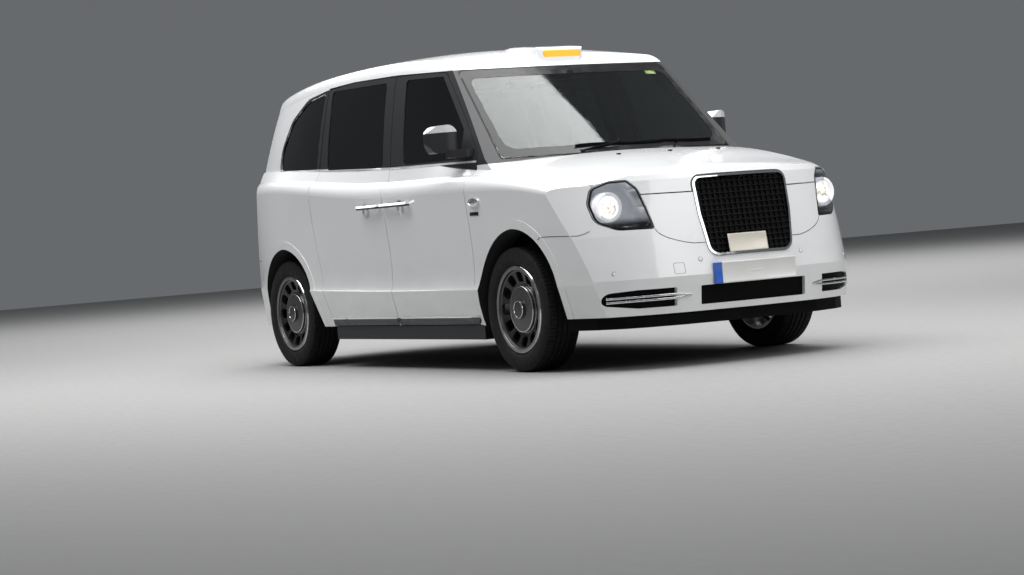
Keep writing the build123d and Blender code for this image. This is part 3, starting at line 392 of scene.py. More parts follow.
cups = math_of(door_finish, "MAXIMUM", *[round_hollow(door_finish, *cup, CUP_RADIUS)
                                         for cup in HANDLE_CUPS])
relief(door_finish, times(door_finish, cups, -1.0), 1.0, CUP_DEPTH)
shade_top = spread(door_finish, axis_of(door_finish, "Z"), 0.0, 0.9, 0.955, 0.980)
cup_disc = spread(door_finish, cups, 0.0, 1.0, 0.10, 0.30)
door_colour = shader_of(door_finish).inputs["Base Color"]
shaded = two_colours(door_finish, times(door_finish, cup_disc, shade_top),
                     door_colour.links[0].from_socket, (0.05, 0.05, 0.053))
link(door_finish, shaded, door_colour)
print(len(HANDLE_CUPS), "hollows on each side")


# %% [markdown]
# The wings, quarters, bumpers, roof and tailgate are painted on the outside only. Inside the
# wheel arches they are black felt, and inside the cabin they are lined in pale cloth. The
# finish tells them apart by the distance from the axles, by the way a face looks and by its
# place, so the solids need no cutting up.

# %% Panels with an unpainted inner side
def facing(finish, name):
    """How far a face looks along one axis, from -1 to 1."""
    split = node(finish, "ShaderNodeSeparateXYZ")
    link(finish, node(finish, "ShaderNodeNewGeometry").outputs["Normal"], split.inputs[0])
    return split.outputs[name]


def panel_finish(name, inner_colour, inner):
    """White paint, with a dull inner side where a mask is 1."""
    finish = new_finish(name, (0.8, 0.8, 0.8), 0.3)
    shader = shader_of(finish)
    white = two_colours(finish, paint_surface(finish), PAINT_WHITE, PAINT_DUSTY)
    mask = inner(finish)
    felt = two_colours(finish, grain(finish, 300, 4), inner_colour,
                       tuple(value * 1.6 for value in inner_colour))
    link(finish, two_colours(finish, mask, white, felt), shader.inputs["Base Color"])
    link(finish, spread(finish, mask, 0.24, 0.9, 0.0, 1.0), shader.inputs["Roughness"])
    link(finish, spread(finish, mask, COAT_WEIGHT, 0.0, 0.0, 1.0), shader.inputs["Coat Weight"])
    return finish


print("panel finish ready")


# %% [markdown]
# In the wheel arches two kinds of face are black: the edge wall, which looks at the axle, and
# the liner, which is near the axle, low, and away from the outer skin. Around the rear quarter
# window the strip in front of the pane and the wall of the opening are black too.

# %% Masks for arches and window edge
EDGE_REACH, EDGE_LOOK = 0.52, 0.22
LINER_REACH, LINER_HALF, LINER_TOP = 0.50, 0.80, 0.80
PANE_FRONT, PANE_TOP, PANE_BACK, DOOR_BACK = -1.110, 1.735, -1.742, -0.95


def looks_at_axle(finish, axle_x):
    """1 where a face near an axle looks towards it, as the edge wall of its arch does."""
    dx = math_of(finish, "SUBTRACT", axle_x, axis_of(finish, "X"))
    dz = math_of(finish, "SUBTRACT", AXLE_HEIGHT, axis_of(finish, "Z"))
    towards = math_of(finish, "ADD", times(finish, dx, facing(finish, "X")),
                      times(finish, dz, facing(finish, "Z")))
    near = math_of(finish, "LESS_THAN", from_axle(finish, axle_x)[0], EDGE_REACH)
    return times(finish, near, math_of(finish, "GREATER_THAN", towards, EDGE_LOOK))


def in_arch(finish):
    """1 on the arch's edge wall and on the liner behind it."""
    edge_wall = math_of(finish, "MAXIMUM", looks_at_axle(finish, AXLES["front"]),
                        looks_at_axle(finish, AXLES["rear"]))
    deep = math_of(finish, "LESS_THAN", math_of(finish, "ABSOLUTE", axis_of(finish, "Y")),
                   LINER_HALF)
    low = math_of(finish, "LESS_THAN", axis_of(finish, "Z"), LINER_TOP)
    nearest = math_of(finish, "MINIMUM", from_axle(finish, AXLES["front"])[0],
                      from_axle(finish, AXLES["rear"])[0])
    liner = times(finish, deep, low, math_of(finish, "LESS_THAN", nearest, LINER_REACH))
    return math_of(finish, "MAXIMUM", edge_wall, liner)


def window_edge(finish):
    """1 on the strip in front of the rear quarter window and on the wall of its opening."""
    above = math_of(finish, "GREATER_THAN", axis_of(finish, "Z"), belt_height(finish))
    ahead_of_pane = math_of(finish, "GREATER_THAN", axis_of(finish, "X"), PANE_FRONT)
    below_roof = math_of(finish, "LESS_THAN", axis_of(finish, "Z"), PANE_TOP)
    before_tail = math_of(finish, "GREATER_THAN", axis_of(finish, "X"), PANE_BACK)
    behind_door = math_of(finish, "LESS_THAN", axis_of(finish, "X"), DOOR_BACK)
    edge_wall = math_of(finish, "LESS_THAN", math_of(finish, "ABSOLUTE", facing(finish, "Y")), 0.6)
    place = times(finish, before_tail, behind_door, above, below_roof)
    return times(finish, place, math_of(finish, "MAXIMUM", ahead_of_pane, edge_wall))


def felt_or_edge(finish):
    return math_of(finish, "MAXIMUM", in_arch(finish), window_edge(finish))


def looks_down(finish):
    """1 where a face looks down, which on the roof is its lining."""
    return math_of(finish, "LESS_THAN", facing(finish, "Z"), -0.15)


def looks_forward(finish):
    """1 where a face looks forward, which on the tailgate is its lining."""
    return math_of(finish, "GREATER_THAN", facing(finish, "X"), 0.2)


print("panel masks ready")


# %% [markdown]
# The one function makes three finishes: one for wings, quarters and bumpers, one for the roof
# with its pale lining, and one for the tailgate with its dark one.

# %% Finishes of wings, roof and tailgate
wing_finish = panel_finish("wing_white", (0.006, 0.006, 0.006), felt_or_edge)
wear(wing_finish, "wing finish", "front_bumper", "rear_bumper",
     *paired("front_wing", "rear_quarter"))
roof_finish = panel_finish("roof_white", (0.42, 0.41, 0.37), looks_down)
wear(roof_finish, "roof finish", "roof_panel")
tailgate_finish = panel_finish("tailgate_white", (0.05, 0.05, 0.05), looks_forward)
wear(tailgate_finish, "tailgate finish", "tailgate")


# %% [markdown]
# The glass is of two kinds. The side and rear windows are dark privacy glass, which shows
# mostly what it mirrors, and the windscreen is nearly clear. Both are the same shader with a
# different tint.

# %% Glass
CLEAR_TINT, PRIVACY_TINT = (0.72, 0.80, 0.78), (0.035, 0.040, 0.042)


def glass_finish(name, tint, roughness=0.02):
    finish = new_finish(name, tint, roughness)
    shader = shader_of(finish)
    shader.inputs["Transmission Weight"].default_value = 1.0
    shader.inputs["IOR"].default_value = 1.45
    smear = grain(finish, 14, 4)
    link(finish, spread(finish, smear, roughness, roughness + 0.03), shader.inputs["Roughness"])
    return finish


privacy_glass = glass_finish("privacy_glass", PRIVACY_TINT)
clear_glass = glass_finish("clear_glass", CLEAR_TINT)
wear(privacy_glass, "privacy glass", "glass_tailgate", *paired("glass_front", "glass_rear"))


# %% [markdown]
# The node of the fixed glass holds windscreen, partition and rear quarter panes, so its tint
# changes by place. The outermost edge of the windscreen is a black rubber seal, which is dull
# and lets no light through, so the mask of the seal takes both away there.

# %% Fixed panes, windscreen seal and lamp lenses
REAR_PANES, SCREEN_BACK = -0.9, 0.45
SCREEN_FOOT, SCREEN_TOP, SEAL_TOP = 1.180, 1.710, 1.698
SCREEN_FOOT_HALF, SCREEN_TOP_HALF = 0.757, 0.679

behind = math_of(clear_glass, "LESS_THAN", axis_of(clear_glass, "X"), REAR_PANES)
half_screen = spread(clear_glass, axis_of(clear_glass, "Z"), SCREEN_FOOT_HALF, SCREEN_TOP_HALF,
                     SCREEN_FOOT, SCREEN_TOP)
past_side = math_of(clear_glass, "GREATER_THAN",
                    math_of(clear_glass, "ABSOLUTE", axis_of(clear_glass, "Y")), half_screen)
past_top = math_of(clear_glass, "GREATER_THAN", axis_of(clear_glass, "Z"), SEAL_TOP)
gasket = times(clear_glass, math_of(clear_glass, "MAXIMUM", past_side, past_top),
               math_of(clear_glass, "GREATER_THAN", axis_of(clear_glass, "X"), SCREEN_BACK))
tinted = two_colours(clear_glass, behind, CLEAR_TINT, PRIVACY_TINT)
link(clear_glass, two_colours(clear_glass, gasket, tinted, (0.003, 0.003, 0.003)),
     shader_of(clear_glass).inputs["Base Color"])
link(clear_glass, math_of(clear_glass, "SUBTRACT", 1.0, gasket),
     shader_of(clear_glass).inputs["Transmission Weight"])
smooth = shader_of(clear_glass).inputs["Roughness"]
link(clear_glass, math_of(clear_glass, "MAXIMUM", smooth.links[0].from_socket,
                          times(clear_glass, gasket, 0.7)), smooth)
wear(clear_glass, "clear glass", "fixed_glass")

lens_glass = glass_finish("lens_glass", (0.92, 0.95, 0.96), 0.01)
wear(lens_glass, "lens glass", "headlamp_lenses")


# %% [markdown]
# Bright metal, black plastic and bare metal each get one finish. Moulded plastic has a fine
# leather-like grain, chrome is nearly a mirror, and the chassis parts are dull with dirt.

# %% Plastics and metals
def moulded(name, colour, roughness, scale=900, strength=0.18):
    finish = new_finish(name, colour, roughness)
    fine = grain(finish, scale, 4)
    relief(finish, fine, strength, 0.0004)
    cloudy = grain(finish, 18, 4)
    paler = tuple(value * 1.5 + 0.001 for value in colour)
    link(finish, two_colours(finish, cloudy, colour, paler),
         shader_of(finish).inputs["Base Color"])
    link(finish, spread(finish, cloudy, roughness - 0.06, roughness + 0.08),
         shader_of(finish).inputs["Roughness"])
    return finish


def metal(name, colour, roughness, variation=0.08, scale=30):
    finish = new_finish(name, colour, roughness, 1.0)
    cloudy = grain(finish, scale, 5)
    link(finish, spread(finish, cloudy, max(0.02, roughness - variation), roughness + variation),
         shader_of(finish).inputs["Roughness"])
    return finish


black_plastic = moulded("black_plastic", (0.003, 0.003, 0.0034), 0.50)
shader_of(black_plastic).inputs["Specular IOR Level"].default_value = 0.05
gloss_black = moulded("gloss_black", (0.004, 0.004, 0.0045), 0.16, 200, 0.02)
chrome = metal("chrome", (0.78, 0.79, 0.80), 0.08, 0.03)
chassis_metal = moulded("chassis_metal", (0.05, 0.048, 0.045), 0.7, 120, 0.4)
bare_metal = metal("bare_metal", (0.45, 0.45, 0.46), 0.38)
trim_plastic = moulded("trim_plastic", (0.030, 0.031, 0.034), 0.62, 1400, 0.3)
wear(black_plastic, "black plastic", "front_lip", "lower_grilles", "grille_mesh", "scuttle")
wear(chrome, "chrome", "grille_surround")
wear(chassis_metal, "chassis metal", "suspension", "floor_pan", "battery_pack", "engine_block")
wear(bare_metal, "bare metal", *paired("knuckle"))
wear(trim_plastic, "trim plastic", "dashboard", "steering_wheel", "partition")
wear(gloss_black, "gloss black", "headlamps", *paired("mirror"))


# %% [markdown]
# A door handle is a bright blade with a dark underside. Its front is crowned, so its upper half
# mirrors the sky. The crown is a bump over the height of the handle, which the solid's own box
# gives, and the lower part is painted near black: painted shade under the blade.

# %% Door handles
handles = paired("handle_front", "handle_rear")
heights = [corner[2] for name in handles for corner in cab[name].bound_box]
handle_middle = (min(heights) + max(heights)) / 2
handle_half = (max(heights) - min(heights)) / 2
handle_chrome = metal("handle_chrome", (0.82, 0.83, 0.84), 0.10, 0.03)
off_middle = math_of(handle_chrome, "SUBTRACT", axis_of(handle_chrome, "Z"), handle_middle)
crown = spread(handle_chrome, math_of(handle_chrome, "ABSOLUTE", off_middle), 1.0, 0.0,
               0.0, handle_half)
relief(handle_chrome, crown, 1.0, 0.9 * handle_half)
# Painted shade: the lower part of the blade is coloured near black for the shade beneath it.
painted_underside_shade = math_of(handle_chrome, "LESS_THAN", off_middle, -0.1 * handle_half)
link(handle_chrome, two_colours(handle_chrome, painted_underside_shade, (0.82, 0.83, 0.84), (0.02, 0.02, 0.022)),
     shader_of(handle_chrome).inputs["Base Color"])
wear(handle_chrome, "handle chrome", *handles)
print("handles from", round(min(heights), 3), "to", round(max(heights), 3))


# %% [markdown]
# The lamps at the back are red plastic over a reflector, and the sign on the roof has an
# amber lens. Coloured plastic lets some light through, so both use transmission with a fine
# prism pattern as a bump.

# %% Coloured lenses
def coloured_lens(name, colour, scale):
    finish = new_finish(name, colour, 0.12)
    shader = shader_of(finish)
    shader.inputs["Transmission Weight"].default_value = 0.25
    shader.inputs["Coat Weight"].default_value = 0.6
    cells = node(finish, "ShaderNodeTexVoronoi", Scale=scale)
    link(finish, place_on(finish), cells.inputs["Vector"])
    relief(finish, cells.outputs["Distance"], 0.25, 0.001)
    return finish


red_lens = coloured_lens("red_lens", (0.36, 0.012, 0.012), 90)
amber_lens = coloured_lens("amber_lens", (0.72, 0.30, 0.03), 70)
shader_of(amber_lens).inputs["Emission Color"].default_value = (1.0, 0.50, 0.06, 1)
shader_of(amber_lens).inputs["Emission Strength"].default_value = 0.55
wear(red_lens, "red lens", "tail_lamps")
wear(amber_lens, "amber lens", "roof_sign_lens")


# %% [markdown]
# The plain tyres and seats of the solids are replaced further on by modelled ones, so they
# only need a plain finish. The floor is a pale matt sheet. The rims get their finish with the
# wheels.

# %% Plain tyres and seats, and the floor
rubber = moulded("rubber", (0.012, 0.012, 0.0125), 0.78, 160, 0.25)
wear(rubber, "rubber", *paired("tyre_front", "tyre_rear"))
wear(trim_plastic, "trim plastic", "driver_seat", "rear_bench", "folding_seats")

floor_finish = moulded("studio_floor", (0.22, 0.22, 0.217), 0.85, 60, 0.1)
floor.data.materials.append(floor_finish)
print("floor in", floor_finish.name)


# %% [markdown]
# Every new piece starts as a primitive at its size and place, and is then shaped with the same
# operators as by hand. Operators act on all that is selected, so one helper selects one piece
# alone, and another closes each piece: place into the mesh, faces outward, soft edges smooth,
# finish on, and a body to ride on.

# %% Helpers for modelling
MERGE_DISTANCE = 0.00002


def take(piece):
    """Makes one piece the only selected one, and the active one."""
    bpy.ops.object.select_all(action="DESELECT")
    piece.select_set(True)
    bpy.context.view_layer.objects.active = piece


def edit(piece, select="SELECT"):
    take(piece)
    bpy.ops.object.mode_set(mode="EDIT")
    bpy.ops.mesh.select_all(action=select)


def done():
    bpy.ops.object.mode_set(mode="OBJECT")


def pick_faces(piece, rule):
    """Opens a piece for editing, with only the faces selected that pass a rule."""
    edit(piece, "DESELECT")
    done()
    for face in piece.data.polygons:
        face.select = rule(face)
    bpy.ops.object.mode_set(mode="EDIT")


def named(name):
    piece = bpy.context.object
    piece.name = piece.data.name = name
    return piece


def apply_all(piece):
    """Applies every modifier, in order."""
    take(piece)
    for modifier in list(piece.modifiers):
        bpy.ops.object.modifier_apply(modifier=modifier.name)


def settle(piece, finish, body, smooth=35, outward=True):
    """Closes a piece: its place goes into its mesh, and it gets its finish and its body."""
    take(piece)
    bpy.ops.object.transform_apply(location=True, rotation=True, scale=True)
    if outward:
        edit(piece)
        bpy.ops.mesh.remove_doubles(threshold=MERGE_DISTANCE)
        bpy.ops.mesh.normals_make_consistent(inside=False)
        done()
    bpy.ops.object.shade_smooth_by_angle(angle=math.radians(smooth))
    piece.data.materials.clear()
    piece.data.materials.append(finish)
    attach(piece, body)
    return piece


print("helpers to pick and to close a piece ready")


# %% [markdown]
# Two primitives cover most small parts, a bar with rounded edges and a round button, and
# several can be joined into one piece. A piece that is needed more than once is copied with
# its own mesh.

# %% Bars, buttons, joined and copied pieces
def bar(name, low, high, rounding=0.003, segments=3):
    """A bar between two corners, with every edge rounded."""
    bpy.ops.object.select_all(action="DESELECT")
    size = [b - a for a, b in zip(low, high)]
    middle = [(a + b) / 2 for a, b in zip(low, high)]
    bpy.ops.mesh.primitive_cube_add(size=1, location=middle, scale=size)
    piece = named(name)
    bpy.ops.object.transform_apply(location=True, rotation=True, scale=True)
    edit(piece)
    bpy.ops.mesh.bevel(offset=rounding, segments=segments, affect="EDGES")
    done()
    return piece


def button(name, place, axis, radius, depth, rounding=0.001, sides=32):
    """A short round piece that faces along an axis, with its rim rounded."""
    bpy.ops.object.select_all(action="DESELECT")
    turn = Vector(axis).to_track_quat("Z", "Y").to_euler()
    bpy.ops.mesh.primitive_cylinder_add(vertices=sides, radius=radius, depth=depth,
                                        location=place, rotation=turn)
    piece = named(name)
    edit(piece)
    bpy.ops.mesh.bevel(offset=rounding, segments=2, affect="EDGES")
    done()
    return piece


def join(name, pieces):
    """Several meshes made into one piece."""
    take(pieces[0])
    for piece in pieces[1:]:
        piece.select_set(True)
    bpy.ops.object.join()
    return named(name)


def copy_of(mesh, name):
    """A new piece with its own copy of a mesh."""
    piece = bpy.data.objects.new(name, mesh.copy())
    piece.data.name = name
    bpy.context.scene.collection.objects.link(piece)
    return piece


print("modelling helpers ready")


# %% [markdown]
# Much of a car's trim is a flat outline that lies on a curved panel. The outline is drawn in
# the front view or the side view, its corners are rounded, long runs are divided, and then a
# shrinkwrap lays it on the panel. An extrusion outward gives it its thickness.

# %% Helpers for trim that lies on a panel
def rounded(points, radius, steps=6, longest=0.03):
    """An outline's points with rounded corners and with long runs divided. The radius is one
    number or one for each corner."""
    radii = radius if isinstance(radius, (list, tuple)) else [radius] * len(points)
    made = []
    count = len(points)
    for index, corner in enumerate(points):
        here = Vector(corner)
        back = (Vector(points[index - 1]) - here).normalized()
        on = (Vector(points[(index + 1) % count]) - here).normalized()
        half = back.angle(on) / 2
        reach = radii[index] / math.tan(half) if radii[index] else 0
        if not reach:
            made.append(here)
            continue
        middle = here + (back + on).normalized() * radii[index] / math.sin(half)
        first, last = here + back * reach - middle, here + on * reach - middle
        sweep = first.angle_signed(last)
        for step in range(steps + 1):
            turn = Matrix.Rotation(-sweep * step / steps, 2)
            made.append(middle + turn @ first)
    divided = []
    for index, point in enumerate(made):
        after = made[(index + 1) % len(made)]
        parts = max(1, int((after - point).length / longest))
        divided += [point.lerp(after, part / parts) for part in range(parts)]
    return divided


def shrunk(points, amount):
    """An outline whose points move towards its middle."""
    middle = sum((Vector(point) for point in points), Vector((0, 0))) / len(points)
    return [Vector(point) - (Vector(point) - middle).normalized() * amount for point in points]


def flat_shape(name, outline, view="front", depth=0.0):
    """A flat filled shape. Front view points are Y and Z, side view points are X and Z."""
    bpy.ops.object.select_all(action="DESELECT")
    bpy.ops.mesh.primitive_circle_add(vertices=len(outline), fill_type="NGON")
    piece = named(name)
    for vertex, (across, up) in zip(piece.data.vertices, outline):
        vertex.co = (depth, across, up) if view == "front" else (across, depth, up)
    return piece


def to_ring(piece, width):
    """Keeps only a border of a filled flat shape."""
    edit(piece)
    bpy.ops.mesh.inset(thickness=width, depth=0, use_boundary=True)
    bpy.ops.mesh.delete(type="FACE")
    done()
    return piece


print("outline helpers ready")


# %% [markdown]
# An outline becomes trim in one of three ways: laid on a panel, cut out of a panel's own
# surface, or run as a thin bar along a line of points.

# %% Laying on, cutting skins, and bars along a line
def lay_on(piece, target, axis, sign, lift=0.0, thickness=0.0015, start=3.0):
    """Projects a flat shape onto a panel along an axis, and gives it a thickness outward.
    Points that miss the panel are deleted."""
    index = "xy".index(axis)
    for vertex in piece.data.vertices:
        vertex.co[index] = start * sign
    wrap = piece.modifiers.new("lay", "SHRINKWRAP")
    wrap.wrap_method = "PROJECT"
    wrap.use_project_x, wrap.use_project_y = axis == "x", axis == "y"
    wrap.use_negative_direction = sign > 0
    wrap.use_positive_direction = sign < 0
    wrap.target = target
    apply_all(piece)
    edit(piece, "DESELECT")
    bpy.ops.mesh.select_mode(type="VERT")
    done()
    for vertex in piece.data.vertices:
        vertex.select = abs(vertex.co[index] - start * sign) < 0.0001
    bpy.ops.object.mode_set(mode="EDIT")
    bpy.ops.mesh.delete(type="VERT")
    bpy.ops.mesh.select_mode(type="FACE")
    done()
    push = Vector((sign, 0, 0)) if axis == "x" else Vector((0, sign, 0))
    edit(piece)
    bpy.ops.transform.translate(value=push * lift)
    bpy.ops.mesh.extrude_region_move(TRANSFORM_OT_translate={"value": push * thickness})
    done()
    return piece


def skin_of(name, node, cuts, keep, thickness=0.002):
    """A strip of a node's own surface: a merged copy, cut by planes, with the faces that don't
    pass a rule deleted, and then thickened outward."""
    piece = copy_of(cab[node].data, name)
    edit(piece)
    bpy.ops.mesh.remove_doubles(threshold=MERGE_DISTANCE)
    for point, normal in cuts:
        bpy.ops.mesh.select_all(action="SELECT")
        bpy.ops.mesh.bisect(plane_co=point, plane_no=normal, clear_outer=True)
    done()
    pick_faces(piece, lambda face: not keep(face.center, face.normal))
    bpy.ops.mesh.delete(type="FACE")
    done()
    wall = piece.modifiers.new("wall", "SOLIDIFY")
    wall.thickness = thickness
    wall.offset = 1.0
    apply_all(piece)
    return piece


def strip_along(name, points, half_height, thickness, sides=2):
    """A thin bar along a line of points, upright, with rounded edges."""
    line = bpy.data.curves.new(name, "CURVE")
    line.dimensions = "3D"
    line.twist_mode = "Z_UP"
    line.extrude = half_height
    line.bevel_depth = thickness
    line.bevel_resolution = sides
    line.use_fill_caps = True
    run = line.splines.new("NURBS")
    run.points.add(len(points) - 1)
    for point, place in zip(run.points, points):
        point.co = (*place, 1)
    run.order_u = 3
    run.use_endpoint_u = True
    piece = bpy.data.objects.new(name, line)
    bpy.context.scene.collection.objects.link(piece)
    take(piece)
    bpy.ops.object.convert(target="MESH")
    return named(name)


print("trim helpers ready")


# %% [markdown]
# The number plates are thin pressed panels with rounded corners. They stay blank. The front
# one stands flat on the curved bumper, so it is a flat bar whose back sinks into the bumper.
# It has a plain blue band at its right end, painted by place in the finish.

# %% Number plates
def plate_finish(name, colour, band=None):
    """A reflective sheet with a fine honeycomb, and a band of another colour at one end."""
    finish = new_finish(name, colour, 0.32)
    cells = node(finish, "ShaderNodeTexVoronoi", Scale=420)
    link(finish, place_on(finish), cells.inputs["Vector"])
    relief(finish, cells.outputs["Distance"], 0.12, 0.0003)
    dusty = two_colours(finish, grain(finish, 9, 4), colour, tuple(v * 0.90 for v in colour))
    if band:
        at_end = math_of(finish, "LESS_THAN", axis_of(finish, "Y"), band[0])
        dusty = two_colours(finish, at_end, dusty, band[1])
    link(finish, dusty, shader_of(finish).inputs["Base Color"])
    shader_of(finish).inputs["Coat Weight"].default_value = 0.5
    return finish


def framed_plate(name, low, high, finish, body, lip=0.004):
    """A flat plate with a pressed border."""
    piece = bar(name, low, high, 0.0025)
    front = 1 if high[0] > 0 else -1
    pick_faces(piece, lambda face: face.normal.x * front > 0.99)
    bpy.ops.mesh.inset(thickness=lip, depth=0)
    bpy.ops.mesh.inset(thickness=0.0012, depth=-0.0008)
    done()
    return settle(piece, finish, body)


FRONT_PLATE = ((2.4100, -0.260, 0.418), (2.4280, 0.260, 0.529))
white_plate = plate_finish("plate_white", (0.78, 0.78, 0.76), (-0.212, (0.03, 0.12, 0.52)))
yellow_plate = plate_finish("plate_yellow", (0.80, 0.52, 0.03))
framed_plate("number_plate_front", *FRONT_PLATE, white_plate, "root")
REAR_PLATE = ((-2.3925, -0.260, 0.760), (-2.3580, 0.260, 0.871))
framed_plate("number_plate_rear", *REAR_PLATE, yellow_plate, "tailgate_body")
print("plates", [round(b - a, 3) for a, b in zip(*FRONT_PLATE)])


# %% [markdown]
# The grille is an egg crate of thin bars over a dark backing, and the solids hold only a slotted
# plate. The opening is a trapezium with rounded corners, so a helper gives its half width at
# any height. Bars of one size are laid out upright, each as long as the opening there, joined,
# and turned back to the grille's lean in one go.

# %% Egg crate grille
GRILLE_TOP = Vector((2.338, 0, 0.993))
GRILLE_FOOT = Vector((2.414, 0, 0.557))
GRILLE_HALF_TOP, GRILLE_HALF_FOOT = 0.289, 0.256
CORNER = 0.062
CELL_WIDTH, CELL_HEIGHT = 0.0335, 0.030
BAR_HALF, CRATE_FRONT, CRATE_BACK = 0.0022, -0.022, -0.036
lean = (GRILLE_TOP - GRILLE_FOOT).normalized()
inward = Vector((-lean.z, 0, lean.x))
GRILLE_LENGTH = (GRILLE_TOP - GRILLE_FOOT).length
GRILLE_TURN = (0, -math.atan2(GRILLE_FOOT.x - GRILLE_TOP.x, GRILLE_TOP.z - GRILLE_FOOT.z), 0)
LOW_END, HIGH_END = 0.014, GRILLE_LENGTH - 0.016


def half_width_at(height):
    """The opening's half width at a height along the lean."""
    half = GRILLE_HALF_FOOT + (GRILLE_HALF_TOP - GRILLE_HALF_FOOT) * height / GRILLE_LENGTH
    near = min(height - LOW_END, HIGH_END - height)
    if near < CORNER:
        half -= CORNER - math.sqrt(max(0.0, CORNER ** 2 - (CORNER - near) ** 2))
    return half


bars = []
rows = [LOW_END + CELL_HEIGHT * step for step in range(1, int(HIGH_END / CELL_HEIGHT))]
for height in rows:
    half = half_width_at(height)
    bars.append(bar("row", (CRATE_BACK, -half, height - BAR_HALF),
                    (CRATE_FRONT, half, height + BAR_HALF), 0.0008, 1))
reach = int(GRILLE_HALF_TOP / CELL_WIDTH)
levels = [LOW_END + 0.002 * step for step in range(int((HIGH_END - LOW_END) / 0.002) + 1)]
for column in range(-reach, reach + 1):
    across = column * CELL_WIDTH
    inside = [level for level in levels if half_width_at(level) > abs(across) + BAR_HALF]
    bars.append(bar("column", (CRATE_BACK, across - BAR_HALF, inside[0]),
                    (CRATE_FRONT, across + BAR_HALF, inside[-1]), 0.0008, 1))
outline = [(half_width_at(level), level) for level in levels[::4]]
outline += [(-across, level) for across, level in reversed(outline)]
backing = flat_shape("backing", outline, "front", CRATE_BACK)
edit(backing)
bpy.ops.mesh.extrude_region_move(TRANSFORM_OT_translate={"value": (-0.004, 0, 0)})
done()
crate = join("grille_crate", bars + [backing])
crate.location = GRILLE_FOOT
crate.rotation_euler = GRILLE_TURN
crate_finish = moulded("crate_black", (0.006, 0.006, 0.0065), 0.45, 500, 0.05)
shader_of(crate_finish).inputs["Specular IOR Level"].default_value = 0.12
settle(crate, crate_finish, "root")
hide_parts("grille_mesh")
print(len(rows), "rows", 2 * reach + 1, "columns")


# %% [markdown]
# A small cream licence plate hangs on the grille by four studs. It leans with the grille and
# stays blank. A bar is modelled upright and turned about its middle.

# %% Licence plate on the grille
cream_plate = plate_finish("plate_cream", (0.74, 0.70, 0.60))
PLATE_MIDDLE = GRILLE_FOOT + lean * 0.070 + Vector((0, -0.022, 0)) - inward * 0.001
panel = bar("licence_plate", (-0.0015, -0.122, -0.0475), (0.0015, 0.122, 0.0475), 0.001, 2)
pick_faces(panel, lambda face: face.normal.x > 0.99)
bpy.ops.mesh.inset(thickness=0.005, depth=0)
bpy.ops.mesh.inset(thickness=0.001, depth=-0.0006)
done()
studs = [button(f"stud_{side}", (-0.012, side * 0.100, height), (1, 0, 0), 0.005, 0.026, 0.001, 16)
         for side in (-1, 1) for height in (-0.036, 0.036)]
panel = join("licence_plate", [panel] + studs)
panel.location = PLATE_MIDDLE
panel.rotation_euler = GRILLE_TURN
settle(panel, cream_plate, "root")
print("licence plate at", [round(v, 3) for v in PLATE_MIDDLE])


# %% [markdown]
# On the bumper are small things that break up the white: two parking sensors in dark rings,
# and a square cover for the tow eye, drawn by the thin gap around it.

# %% Sensors and tow cover
def nearest_front(name, across, up):
    """Where a line from the front meets a node's surface."""
    _, place, normal, _ = cab[name].ray_cast(Vector((3, across, up)), Vector((-1, 0, 0)))
    return place, normal


sensor_finish = moulded("sensor_white", (0.62, 0.63, 0.64), 0.35, 700, 0.05)
for label, across in (("left", 0.320), ("right", -0.320)):
    place, normal = nearest_front("front_bumper", across, 0.553)
    ring = button(f"sensor_ring_{label}", place - normal * 0.002, normal, 0.0128, 0.0048)
    settle(ring, black_plastic, "root")
    sensor = button(f"parking_sensor_{label}", place - normal * 0.002, normal, 0.0108, 0.0062)
    settle(sensor, sensor_finish, "root")

TOW_COVER = [(-0.470, 0.4865), (-0.412, 0.4865), (-0.412, 0.5435), (-0.470, 0.5435)]
cover_gap = to_ring(flat_shape("tow_cover_gap", rounded(TOW_COVER, 0.010)), 0.0015)
lay_on(cover_gap, cab["front_bumper"], "x", 1, 0.0001, 0.0004)
settle(cover_gap, black_plastic, "root")
print("sensors and tow cover made")


# %% [markdown]
# In each side slot of the bumper lies a chrome double bar. Its inner end follows the bumper,
# where the two bars close up to a point, and its outer end bends back around the corner.

# %% Slot bars
for label, side in SIDES:
    for tier, low in (("upper", 0.383), ("lower", 0.363)):
        line = []
        for across in (0.385, 0.410, 0.440, 0.470):
            place, _ = nearest_front("front_bumper", side * min(across, 0.455), low)
            height = low + (0.372 - low) * max(0.0, (0.455 - across) / 0.070)
            line.append((place.x + 0.002 - 0.02 * max(0, across - 0.455), side * across, height))
        line += [(2.352, side * 0.549, low), (2.306, side * 0.617, low - 0.001),
                 (2.238, side * 0.700, low - 0.002), (2.165, side * 0.775, low - 0.004)]
        run = strip_along(f"slot_bar_{tier}_{label}", line, 0.0035, 0.002)
        settle(run, chrome, "root")
print("slot bars made")


# %% [markdown]
# The joints round the bumper read as dark lines: one from the wheel arch up to the lamp, and
# one from the lamp to the grille. The solids part there with hairline gaps, so a thin dark
# strip lies over each gap. Its points are chosen on the joint and divided, and each is dropped
# on the panels.

# %% Joint lines and outer sensors
WING_JOINT = ((1.722, 0.904, 0.714), (1.747, 0.902, 0.728), (1.816, 0.892, 0.728),
              (1.914, 0.876, 0.725), (2.031, 0.836, 0.721), (2.060, 0.815, 0.728),
              (2.084, 0.794, 0.740))
NOSE_JOINT = ((2.295, 0.524, 0.727), (2.304, 0.513, 0.709), (2.314, 0.498, 0.695),
              (2.328, 0.470, 0.678), (2.344, 0.433, 0.663), (2.359, 0.387, 0.649),
              (2.372, 0.340, 0.639), (2.383, 0.275, 0.638))
JOINT_STEPS = 6


